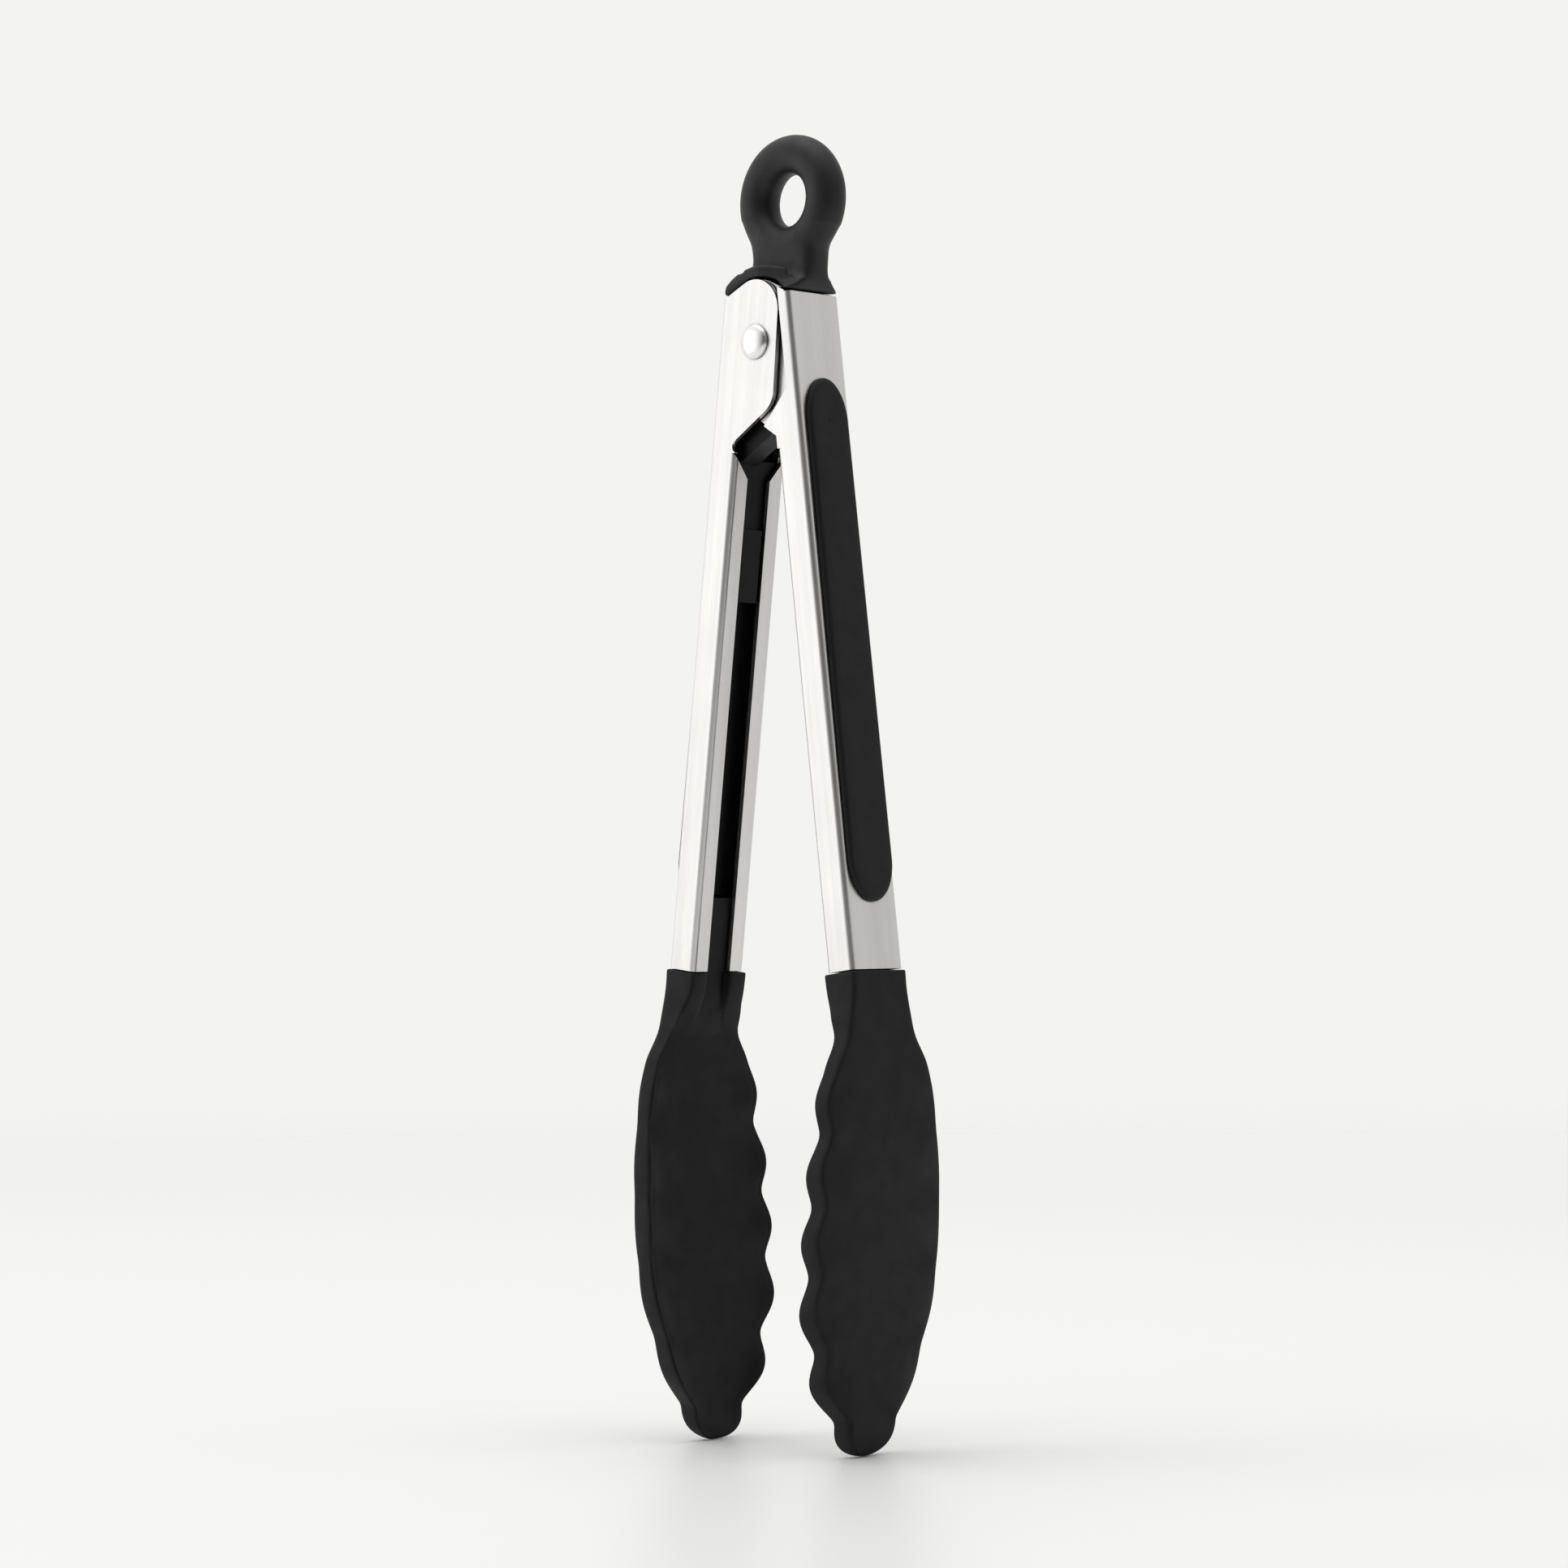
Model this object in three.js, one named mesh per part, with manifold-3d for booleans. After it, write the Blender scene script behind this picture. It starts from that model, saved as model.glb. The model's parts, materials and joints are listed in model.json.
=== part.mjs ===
// Spring loaded kitchen tongs with silicone heads, a pull tab and a hanging loop.
// Millimetres, +Z up. The tongs hang open from the loop: +X is the way the inner arm opens,
// +Y is the hinge axis, and the origin is the centre of the loop's hole.
//
// Each arm is drawn in its own frame: x is outwards from the closed tongs' middle plane,
// y is the hinge axis and z is up along the arm, with the hinge at the origin.

import * as THREE from 'three';
import { mergeVertices } from 'three/addons/utils/BufferGeometryUtils.js';
import Module from 'manifold-3d';

const wasm = await Module();
wasm.setup();

// ---------- driving dimensions ----------
const OPEN_TILT = THREE.MathUtils.degToRad(7.0);   // each arm's lean when the tongs are open
const CLOSE_ANGLE = THREE.MathUtils.degToRad(9.5); // how far the inner arm swings to close
const GAP = 0.3;                                   // clearance between separate pieces

// pressed steel arms
const SHEET = 1.0;          // sheet thickness
const ARM_WIDTH = 14.7;     // across the channel, along the hinge axis
const ARM_DEPTH = 7.1;      // back face to lip face
const ARM_BACK = 10.2;      // back face to the middle plane
const ARM_TOP = 8.3;        // hinge to the top edge of the back
const ARM_REACH = 126.75;   // hinge to the lower end of the steel
const BEND_RADIUS = 1.2;    // outside radius of each bend
const LIP_GAP = 6.4;        // opening between the two lips
const LIP_START = 22.3;     // hinge to where a lip leaves the flange
const LIP_SLANT = 5.0;      // length of the slanted start of a lip
const SEAM = 0.1;           // overlap where two shapes of one piece are joined

// ears of the hinge
const EAR_ARCH_RADIUS = 6.5;
const EAR_ARCH_X = 1.0;
const EAR_ARCH_Z = 5.9;
const EAR_SHOULDER_SLOPE = THREE.MathUtils.degToRad(32);
const EAR_FRONT_STEP = 0.6; // front edge of the ear past its arch
const EAR_CORNER_Z = -12.1; // where the front edge would meet the slanted lower edge
const EAR_CORNER_RADIUS = 5.0;
const EAR_LOWER_SLOPE = THREE.MathUtils.degToRad(39);
const RELIEF_RADIUS = 1.2;  // bend relief below the outer ear
const RELIEF_DROP = 21.0;
const JOGGLE_ROOM = 1.2;    // past the front of the other ear, where the inner ear steps inwards
const JOGGLE_DROP = 10.8;
const JOGGLE_SLOPE = THREE.MathUtils.degToRad(42);

// hinge hardware
const RIVET_SHANK_RADIUS = 2.0;
const RIVET_HEAD_RADIUS = 3.5;
const RIVET_HEAD_HEIGHT = 1.5;
const RIVET_RIM = 0.3;      // straight edge below the dome
const BUSH_RADIUS = 3.2;
const SPRING_WIRE = 1.0;
const SPRING_TURNS = 2.75;
const SPRING_COIL_GAP = 0.06;
const SPRING_LEG_REACH = 12;
const SPRING_LEG_CLEARANCE = 0.5;

// grip pads and the carriers behind them
const PAD_TOP = -9.0;
const PAD_END_MARGIN = 13.15; // pad's lower end to the end of the steel
const PAD_WIDTH = 12.2;
const PAD_TOP_WIDTH = 11.2;
const PAD_END_LENGTH = 8.5; // length of each elliptical end
const PAD_RISE = 1.5;
const PAD_NECK_WIDTH = 7.4;
const PAD_FLANGE = 2.2;     // how far the pad's rim reaches past its neck at each end
const PAD_EDGE_RADIUS = 1.0;
const CARRIER_STEP = 2.4;   // below the inner ear's step, to the top of a carrier
const CARRIER_THICKNESS = 2.2;
const CARRIER_CORNER = 0.6;

// silicone heads: distance below the steel, rim and back face in from the arm's back, and half
// width at each station. The stations from the fifth on are the notches of the scalloped edge.
const HEAD_STEP = 0.5;      // how far the head's collar stands out round the steel
const HEAD_COLLAR_HALF = ARM_WIDTH / 2 + HEAD_STEP;
const HEAD_STATIONS = [
  { drop: 0.0, rim: ARM_DEPTH + HEAD_STEP, back: -HEAD_STEP, half: HEAD_COLLAR_HALF },
  { drop: 4.0, rim: ARM_DEPTH + 0.2, back: -0.3, half: HEAD_COLLAR_HALF + 0.1 },
  { drop: 9.0, rim: 5.7, back: 0.1, half: 8.9 },
  { drop: 13.0, rim: 4.4, back: 0.4, half: 9.9 },
  { drop: 19.0, rim: 4.7, back: 0.9, half: 13.2 },
  { drop: 31.3, rim: 5.7, back: 2.0, half: 15.1 },
  { drop: 45.2, rim: 8.7, back: 4.2, half: 16.4 },
  { drop: 58.3, rim: 11.0, back: 6.9, half: 16.5 },
  { drop: 73.0, rim: 14.4, back: 10.0, half: 13.5 },
  { drop: 86.8, rim: 17.2, back: 12.6, half: 6.9 },
];
const SCALLOPS = [
  { wide: 1.0, forward: 1.2 },
  { wide: 1.2, forward: 1.6 },
  { wide: 1.0, forward: 1.5 },
  { wide: 1.6, forward: 1.6 },
  { wide: 1.9, forward: 1.6 },
];
const SCALLOP_START = 4;    // station where the first scallop begins
const SCALLOP_POWER = 1.4;  // above 1 the notches open out into the waves
const TIP_LOBE = 6.9;       // last station to the tip
const TIP_RIM_RISE = 1.4;   // how far the rim goes on over the tip's lobe
const TIP_BACK_RISE = 1.5;
const TIP_POWER = 2.4;      // squareness of the tip's lobe
const HEAD_WALL = 2.2;      // silicone rim round the hollow
const HEAD_SKIN = 1.0;      // silicone over each face of the core
const CORE_PLATE = 1.2;
const CORE_EDGE = 3.4;      // core edge to the silicone's outline
const CORE_END_MARGIN = 5.9; // core's lower end to the tip of the silicone
const TANG_LENGTH = 14.75;  // tang reaches this far up the channel
const TANG_SIDE_ROOM = 1.35; // inside of the flange to the side of the tang
const TANG_CORNER = 0.5;
const FUNNEL_TOP = 5.0;     // where the hollow of the head begins, below the steel
const FUNNEL_END = 21.0;
const FUNNEL_STEP = 5.0;    // length over which the hollow's floor leaves the tang
const HOLLOW_END_WALL = 3.4; // silicone between the hollow and the tip
const CORE_END_POWER = 10;  // squareness of the core's round end
const HOLLOW_END_POWER = 14;

// pull tab and lock slide, on the outer arm's axis
const LOCK_TRAVEL = 10;
const LOOP_RING_RADIUS = 9.15;
const LOOP_TUBE_RADIUS = 4.05;
const NECK_LENGTH = 4.55;   // top of the collar's flare to the middle of the ring's lowest part
const NECK_WIDTH = 17.0;
const NECK_DEPTH = 6.8;
const NECK_OFFSET = -1.0;   // neck's middle to the tab's axis, towards the outer arm
const NECK_TOP_OFFSET = -0.4;
const NECK_CORNER = 1.6;
const COLLAR_WIDTH = 17.7;
const COLLAR_OFFSET = 0.55;
const COLLAR_LIP = 0.15;    // how far the collar stands out past the steel on each side
const COLLAR_CORNER = 1.8;
const COLLAR_BAND_TOP = 11.3;
const COLLAR_FLARE = 3.8;
const HOOD_CENTRE_X = -0.4; // raised arch of the collar over the ears
const HOOD_CENTRE_Z = 6.6;
const HOOD_REACH = 12.2;
const HOOD_RISE = 8.9;
const HOOD_THICKNESS = 2.4;
const HOOD_END = ARM_BACK - 0.2;
const HOOD_FADE_START = 1.0; // from here the arch sinks into the flare
const HOOD_FADE_HALF = 4.6;
const CORE_NECK_WIDTH = 9.0;
const CORE_NECK_DEPTH = 2.4;
const CORE_NECK_DROP = 10.8; // centre of the hole to the top of the slide's neck
const SLIDE_ROOM = 0.5;     // carrier to the side of the slide
const SLIDE_SLOT_END = 3.0; // slide past the lower end of its slot
const FOOT_PAST_LIP = 2.2;  // start of the lips to the end of the slide's foot
const TAIL_END = -52.0;
const TAIL_RIDGE_STEP = 0.4; // lip face to the face of the ridge between the lips

// ---------- values that follow ----------
const HALF = ARM_WIDTH / 2;
const LIP_FACE = ARM_BACK - ARM_DEPTH;
const INNER_HALF = HALF - SHEET;                    // inside of the flanges
const INNER_BACK = ARM_BACK - SHEET;                // inside of the back wall
const EAR_IN_OUT = INNER_HALF - GAP;                // outside face of the inner arm's ears
const EAR_IN_IN = EAR_IN_OUT - SHEET;
const INNER_BEND_RADIUS = Math.max(BEND_RADIUS - SHEET, 0) + SEAM;
const SHANK_HOLE = RIVET_SHANK_RADIUS + GAP;
const EAR_FRONT = EAR_ARCH_X - EAR_ARCH_RADIUS - EAR_FRONT_STEP;
const JOGGLE_FACE = JOGGLE_ROOM - EAR_FRONT;
const SPRING_PITCH = SPRING_WIRE + SPRING_COIL_GAP;
const SLIDE_HIGH = EAR_IN_IN - GAP;                 // the slide fills what the spring leaves
const SLIDE_LOW = -SLIDE_HIGH + SPRING_WIRE + SPRING_TURNS * SPRING_PITCH + GAP;
const CARRIER_FRONT = INNER_BACK - 2 * GAP - CARRIER_THICKNESS;
const CARRIER_JOGGLE_DROP = JOGGLE_DROP + (JOGGLE_FACE - CARRIER_FRONT) * Math.tan(JOGGLE_SLOPE);
const CARRIER_TOP = -Math.max(CARRIER_JOGGLE_DROP + CARRIER_STEP, SPRING_LEG_REACH + SPRING_WIRE + GAP);
const SLIDE_HALF_WIDTH = CARRIER_FRONT - SLIDE_ROOM;
const PAD_BOTTOM = -(ARM_REACH - PAD_END_MARGIN);
const TANG_TOP = -(ARM_REACH - TANG_LENGTH);
const TANG_HALF = INNER_HALF - TANG_SIDE_ROOM;
const CARRIER_END = TANG_TOP + GAP;
const CHANNEL_FRONT = LIP_FACE + SHEET + GAP;          // front of what fills the channel behind its lips
const HEAD_TOP = -(ARM_REACH + GAP);
const HEAD_LENGTH = HEAD_STATIONS[HEAD_STATIONS.length - 1].drop + TIP_LOBE;
const LOOP_CENTRE = COLLAR_BAND_TOP + COLLAR_FLARE + NECK_LENGTH + LOOP_RING_RADIUS;
const CORE_NECK_TOP = LOOP_CENTRE - CORE_NECK_DROP;
const COLLAR_DEPTH = ARM_WIDTH + 2 * COLLAR_LIP;
const TAIL_RIDGE_HALF = LIP_GAP / 2 - 2 * GAP;
const ARM_CORNER_RISE = ARM_BACK * Math.sin(OPEN_TILT) + ARM_TOP * Math.cos(OPEN_TILT);
const COLLAR_REST = ARM_CORNER_RISE + GAP;          // level underside of the collar, above the hinge
const FAR = 40;                                     // longer than any cut is deep

// ---------- materials ----------
const steel = () => new THREE.MeshStandardMaterial({ color: 0xc9c8c4, roughness: 0.32, metalness: 1 });
const brightSteel = () => new THREE.MeshStandardMaterial({ color: 0xdad8d6, roughness: 0.2, metalness: 1 });
const springWire = () => new THREE.MeshStandardMaterial({ color: 0x9c9a96, roughness: 0.35, metalness: 1 });
const softBlack = () => new THREE.MeshStandardMaterial({ color: 0x2b2b2b, roughness: 0.6, metalness: 0 });
const silicone = () => new THREE.MeshStandardMaterial({ color: 0x242424, roughness: 0.7, metalness: 0 });
const nylon = () => new THREE.MeshStandardMaterial({ color: 0x161616, roughness: 0.45, metalness: 0 });

// ---------- solids ----------
function toSolid(geometry) {
  const bare = geometry.clone();
  bare.deleteAttribute('normal');
  bare.deleteAttribute('uv');
  const merged = mergeVertices(bare, 1e-4);
  const vertProperties = new Float32Array(merged.attributes.position.array);
  const triVerts = new Uint32Array(merged.index.array);
  return new wasm.Manifold(new wasm.Mesh({ numProp: 3, vertProperties, triVerts }));
}

function toGeometry(solid) {
  const mesh = solid.getMesh();
  const geometry = new THREE.BufferGeometry();
  geometry.setAttribute('position', new THREE.BufferAttribute(Float32Array.from(mesh.vertProperties), 3));
  geometry.setIndex(Array.from(mesh.triVerts));
  geometry.computeVertexNormals();
  return geometry;
}

function extrude(shape, depth, curveSegments = 8) {
  return new THREE.ExtrudeGeometry(shape, { depth, bevelEnabled: false, curveSegments });
}

// a shape drawn in (x, z), from y = low to y = high
function alongY(shape, low, high, curveSegments) {
  const geometry = extrude(shape, high - low, curveSegments);
  geometry.rotateX(Math.PI / 2);
  geometry.translate(0, high, 0);
  return toSolid(geometry);
}

// a shape drawn in (y, z), from x = low to x = high
function alongX(shape, low, high, curveSegments) {
  const geometry = extrude(shape, high - low, curveSegments);
  const turn = new THREE.Matrix4().makeBasis(
    new THREE.Vector3(0, 1, 0), new THREE.Vector3(0, 0, 1), new THREE.Vector3(1, 0, 0));
  geometry.applyMatrix4(turn);
  geometry.translate(low, 0, 0);
  return toSolid(geometry);
}

// a shape drawn in (x, y), from z = low to z = high
function alongZ(shape, low, high, curveSegments) {
  const geometry = extrude(shape, high - low, curveSegments);
  geometry.translate(0, 0, low);
  return toSolid(geometry);
}

function box(x0, x1, y0, y1, z0, z1) {
  const geometry = new THREE.BoxGeometry(x1 - x0, y1 - y0, z1 - z0);
  geometry.translate((x0 + x1) / 2, (y0 + y1) / 2, (z0 + z1) / 2);
  return toSolid(geometry);
}

function polygon(points) {
  return new THREE.Shape(points.map(([x, y]) => new THREE.Vector2(x, y)));
}

function roundedRect(x0, x1, y0, y1, radius) {
  const shape = new THREE.Shape();
  shape.absarc(x1 - radius, y1 - radius, radius, 0, Math.PI / 2, false);
  shape.absarc(x0 + radius, y1 - radius, radius, Math.PI / 2, Math.PI, false);
  shape.absarc(x0 + radius, y0 + radius, radius, Math.PI, 1.5 * Math.PI, false);
  shape.absarc(x1 - radius, y0 + radius, radius, 1.5 * Math.PI, 2 * Math.PI, false);
  shape.closePath();
  return shape;
}

// a slot with round ends, drawn in (y, z), between two heights
function stadium(half, top, bottom) {
  const shape = new THREE.Shape();
  shape.absarc(0, top - half, half, 0, Math.PI, false);
  shape.absarc(0, bottom + half, half, Math.PI, 2 * Math.PI, false);
  shape.closePath();
  return shape;
}

function circle(x, y, radius) {
  const shape = new THREE.Shape();
  shape.absarc(x, y, radius, 0, 2 * Math.PI, false);
  return shape;
}

function bothSides(makeAt) {
  return makeAt(1).add(makeAt(-1));
}

// ---------- the arms ----------
function channel() {
  const outside = alongZ(roundedRect(LIP_FACE, ARM_BACK, -HALF, HALF, BEND_RADIUS), -ARM_REACH, ARM_TOP, 5);
  const hollow = alongZ(
    roundedRect(LIP_FACE + SHEET, INNER_BACK, -INNER_HALF, INNER_HALF, INNER_BEND_RADIUS),
    -ARM_REACH - 1, ARM_TOP + 1, 2);
  const mouth = box(
    LIP_FACE - 1, LIP_FACE + 2 * SHEET, -LIP_GAP / 2, LIP_GAP / 2, -ARM_REACH - 1, ARM_TOP + 1);
  return outside.subtract(hollow).subtract(mouth);
}

// takes the lips off above their slanted start
function lipTrim() {
  const shape = polygon([
    [-HALF - 1, -LIP_START],
    [-HALF, -LIP_START],
    [-LIP_GAP / 2, -LIP_START - LIP_SLANT],
    [LIP_GAP / 2, -LIP_START - LIP_SLANT],
    [HALF, -LIP_START],
    [HALF + 1, -LIP_START],
    [HALF + 1, ARM_TOP + 1],
    [-HALF - 1, ARM_TOP + 1],
  ]);
  return alongX(shape, LIP_FACE - 1, LIP_FACE + BEND_RADIUS);
}

// where the slanted lower edge of the ear is, at a given x
function earLowerEdge(x) {
  return EAR_CORNER_Z - (x - EAR_FRONT) * Math.tan(EAR_LOWER_SLOPE);
}

// the ear seen along the hinge, grown outwards by a clearance
function earShape(grow = 0) {
  const radius = EAR_ARCH_RADIUS + grow;
  const rise = Math.PI / 2 - EAR_SHOULDER_SLOPE;
  const backX = ARM_BACK - BEND_RADIUS;
  const archX = EAR_ARCH_X + radius * Math.cos(rise);
  const archZ = EAR_ARCH_Z + radius * Math.sin(rise);
  const shoulderZ = archZ - (backX - archX) * Math.tan(EAR_SHOULDER_SLOPE);
  const front = EAR_FRONT - grow;
  const turn = Math.PI / 2 - EAR_LOWER_SLOPE;
  const setback = EAR_CORNER_RADIUS * Math.tan(turn / 2);
  const centreX = front + EAR_CORNER_RADIUS;
  const centreZ = EAR_CORNER_Z + setback;
  const flangeX = LIP_FACE + 2 * SEAM;
  const shape = new THREE.Shape();
  shape.moveTo(backX, -LIP_START);
  shape.lineTo(backX, shoulderZ);
  shape.absarc(EAR_ARCH_X, EAR_ARCH_Z, radius, rise, Math.PI, false);
  shape.lineTo(front, centreZ);
  shape.absarc(centreX, centreZ, EAR_CORNER_RADIUS, Math.PI, Math.PI + turn, false);
  shape.lineTo(flangeX, earLowerEdge(flangeX));
  shape.lineTo(flangeX, -LIP_START);
  shape.closePath();
  return shape;
}

function earPlates(inside, outside) {
  return bothSides((side) => {
    const low = side > 0 ? inside : -outside;
    return alongY(earShape(), low, low + outside - inside, 12);
  });
}

function rivetHole() {
  return alongY(circle(0, 0, SHANK_HOLE), -FAR, FAR, 12);
}

function padSlot() {
  const half = PAD_NECK_WIDTH / 2 + GAP;
  const end = PAD_FLANGE - GAP;
  return alongX(stadium(half, PAD_TOP - end, PAD_BOTTOM + end), INNER_BACK - 1, ARM_BACK + 1, 12);
}

function outerArm() {
  const relief = alongY(circle(LIP_FACE - 2 * SEAM, -RELIEF_DROP, RELIEF_RADIUS), -FAR, FAR, 12);
  return channel()
    .subtract(lipTrim())
    .add(earPlates(INNER_HALF, HALF))
    .subtract(relief)
    .subtract(rivetHole())
    .subtract(padSlot());
}

// the part of the inner arm's flanges that steps inwards, grown by a sheet for the step itself
function joggleZone(grow) {
  const face = JOGGLE_FACE + grow;
  const drop = JOGGLE_DROP + grow / Math.cos(JOGGLE_SLOPE) - grow * Math.tan(JOGGLE_SLOPE);
  return polygon([
    [face, FAR],
    [-FAR, FAR],
    [-FAR, -drop - (face + FAR) * Math.tan(JOGGLE_SLOPE)],
    [face, -drop],
  ]);
}

function innerArm() {
  const flush = bothSides((side) => {
    const low = side > 0 ? EAR_IN_OUT : -FAR;
    return alongY(joggleZone(0), low, low + FAR - EAR_IN_OUT);
  });
  const stepped = alongY(joggleZone(SHEET), -FAR, FAR);
  const ears = earPlates(EAR_IN_IN, EAR_IN_OUT).intersect(stepped);
  const web = earPlates(EAR_IN_IN, HALF).intersect(stepped).subtract(alongY(joggleZone(0), -FAR, FAR));
  return channel()
    .subtract(lipTrim())
    .add(earPlates(INNER_HALF, HALF))
    .subtract(flush)
    .add(ears)
    .add(web)
    .subtract(rivetHole())
    .subtract(padSlot());
}

// ---------- hinge hardware ----------
function domeProfile(points, sign) {
  const steps = 5;
  const seat = HALF + GAP;
  for (let i = 0; i <= steps; i += 1) {
    const along = i / steps;
    const angle = (sign > 0 ? along : 1 - along) * Math.PI / 2;
    const radius = RIVET_HEAD_RADIUS * Math.cos(angle);
    const height = seat + RIVET_RIM + (RIVET_HEAD_HEIGHT - RIVET_RIM) * Math.sin(angle);
    points.push(new THREE.Vector2(Math.max(radius, 0), sign * height));
  }
}

function hingeRivet() {
  const seat = HALF + GAP;
  const points = [];
  domeProfile(points, -1);
  points.push(new THREE.Vector2(RIVET_HEAD_RADIUS, -seat));
  points.push(new THREE.Vector2(RIVET_SHANK_RADIUS, -seat));
  points.push(new THREE.Vector2(RIVET_SHANK_RADIUS, seat));
  points.push(new THREE.Vector2(RIVET_HEAD_RADIUS, seat));
  domeProfile(points, 1);
  return toSolid(new THREE.LatheGeometry(points, 22));
}

function pivotBush() {
  const end = EAR_IN_IN - GAP;
  const ring = circle(0, 0, BUSH_RADIUS);
  ring.holes.push(circle(0, 0, SHANK_HOLE));
  return alongY(ring, -end, end, 12);
}

// torsion spring: an open coil round the bush, with a leg along each arm's back wall
class TorsionSpringPath extends THREE.Curve {
  constructor() {
    super();
    this.radius = BUSH_RADIUS + GAP + SPRING_WIRE / 2;
    this.legX = INNER_BACK - SPRING_LEG_CLEARANCE - SPRING_WIRE / 2;
    this.share = 0.16;                              // part of the path taken by each leg
    this.start = -(EAR_IN_IN - GAP - SPRING_WIRE / 2);
    const reach = Math.hypot(this.legX, SPRING_LEG_REACH);
    this.lean = Math.atan2(SPRING_LEG_REACH, this.legX) - Math.acos(this.radius / reach);
  }

  // the leg's foot in the frame of the outer arm, x towards that arm's back
  foot(onOuterArm) {
    const angle = 2 * OPEN_TILT;
    if (onOuterArm) return [this.legX, -SPRING_LEG_REACH];
    const x = -this.legX * Math.cos(angle) - SPRING_LEG_REACH * Math.sin(angle);
    const z = this.legX * Math.sin(angle) - SPRING_LEG_REACH * Math.cos(angle);
    return [x, z];
  }

  getPoint(t, target = new THREE.Vector3()) {
    const startAngle = -this.lean;
    const endAngle = startAngle + 2 * Math.PI * SPRING_TURNS + this.spare();
    const { radius } = this;
    const onCoil = (angle, y) => target.set(radius * Math.cos(angle), y, radius * Math.sin(angle));
    const yAt = (share) => this.start + share * SPRING_TURNS * SPRING_PITCH;
    if (t < this.share) {
      const [x, z] = this.foot(true);
      onCoil(startAngle, yAt(0));
      return target.lerp(new THREE.Vector3(x, yAt(0), z), 1 - t / this.share);
    }
    if (t > 1 - this.share) {
      const [x, z] = this.foot(false);
      onCoil(endAngle, yAt(1));
      return target.lerp(new THREE.Vector3(x, yAt(1), z), (t - 1 + this.share) / this.share);
    }
    const share = (t - this.share) / (1 - 2 * this.share);
    return onCoil(startAngle + share * (endAngle - startAngle), yAt(share));
  }

  // turns the last part of the coil so that it leaves along the inner arm's leg
  spare() {
    const [x, z] = this.foot(false);
    const leave = Math.atan2(z, x) + Math.acos(this.radius / Math.hypot(x, z));
    const plain = -this.lean + 2 * Math.PI * SPRING_TURNS;
    const turn = 2 * Math.PI;
    const ahead = ((leave - plain) % turn + turn) % turn;
    return ahead > Math.PI ? ahead - turn : ahead;
  }
}

function torsionSpring() {
  const section = circle(0, 0, SPRING_WIRE / 2);
  const geometry = new THREE.ExtrudeGeometry(section, {
    steps: 72,
    curveSegments: 4,
    bevelEnabled: false,
    extrudePath: new TorsionSpringPath(),
  });
  return toSolid(geometry);
}

// ---------- grips ----------
// the pad seen from behind the arm, drawn in (y, z) and drawn in by an inset
function padOutline(inset) {
  const length = PAD_END_LENGTH - inset;
  const shape = new THREE.Shape();
  shape.absellipse(
    0, PAD_TOP - PAD_END_LENGTH, PAD_TOP_WIDTH / 2 - inset, length, 0, Math.PI, false, 0);
  shape.absellipse(
    0, PAD_BOTTOM + PAD_END_LENGTH, PAD_WIDTH / 2 - inset, length, Math.PI, 2 * Math.PI, false, 0);
  shape.closePath();
  return shape;
}

function gripPad() {
  const seat = ARM_BACK + GAP;
  const geometry = new THREE.ExtrudeGeometry(padOutline(PAD_EDGE_RADIUS), {
    depth: PAD_RISE - GAP - PAD_EDGE_RADIUS,
    bevelThickness: PAD_EDGE_RADIUS,
    bevelSize: PAD_EDGE_RADIUS,
    bevelSegments: 2,
    curveSegments: 12,
  });
  const turn = new THREE.Matrix4().makeBasis(
    new THREE.Vector3(0, 1, 0), new THREE.Vector3(0, 0, 1), new THREE.Vector3(1, 0, 0));
  geometry.applyMatrix4(turn);
  geometry.translate(seat, 0, 0);
  const rim = toSolid(geometry).subtract(box(0, seat, -FAR, FAR, PAD_BOTTOM - 1, PAD_TOP + 1));
  const neck = alongX(
    stadium(PAD_NECK_WIDTH / 2, PAD_TOP - PAD_FLANGE, PAD_BOTTOM + PAD_FLANGE),
    INNER_BACK - GAP, seat + SEAM, 12);
  return rim.add(neck);
}

function gripCarrier() {
  const half = INNER_HALF - GAP;
  const section = roundedRect(CARRIER_FRONT, INNER_BACK - 2 * GAP, -half, half, CARRIER_CORNER);
  return alongZ(section, CARRIER_END, CARRIER_TOP, 3);
}

// ---------- heads ----------
// a smooth line through the stations, so each value follows the distance below the steel
function stationLine(key, endValue) {
  const knots = HEAD_STATIONS.map((station) => [station.drop, station[key]]);
  knots.push([HEAD_LENGTH, endValue]);
  const slope = (i) => {
    const before = knots[Math.max(i - 1, 0)];
    const after = knots[Math.min(i + 1, knots.length - 1)];
    return (after[1] - before[1]) / (after[0] - before[0]);
  };
  return (drop) => {
    let i = knots.findIndex((knot) => knot[0] > drop) - 1;
    if (i < 0) i = drop <= 0 ? 0 : knots.length - 2;
    const span = knots[i + 1][0] - knots[i][0];
    const t = Math.min((drop - knots[i][0]) / span, 1);
    const a = 2 * t ** 3 - 3 * t ** 2 + 1;
    const b = t ** 3 - 2 * t ** 2 + t;
    const c = -2 * t ** 3 + 3 * t ** 2;
    const d = t ** 3 - t ** 2;
    return a * knots[i][1] + b * span * slope(i) + c * knots[i + 1][1] + d * span * slope(i + 1);
  };
}

const lastStation = HEAD_STATIONS[HEAD_STATIONS.length - 1];
const rimInset = stationLine('rim', lastStation.rim + TIP_RIM_RISE);
const backInset = stationLine('back', lastStation.back + TIP_BACK_RISE);
const halfLine = stationLine('half', 0);
const rimLine = (drop) => ARM_BACK - rimInset(drop);
const backLine = (drop) => ARM_BACK - backInset(drop);

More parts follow.
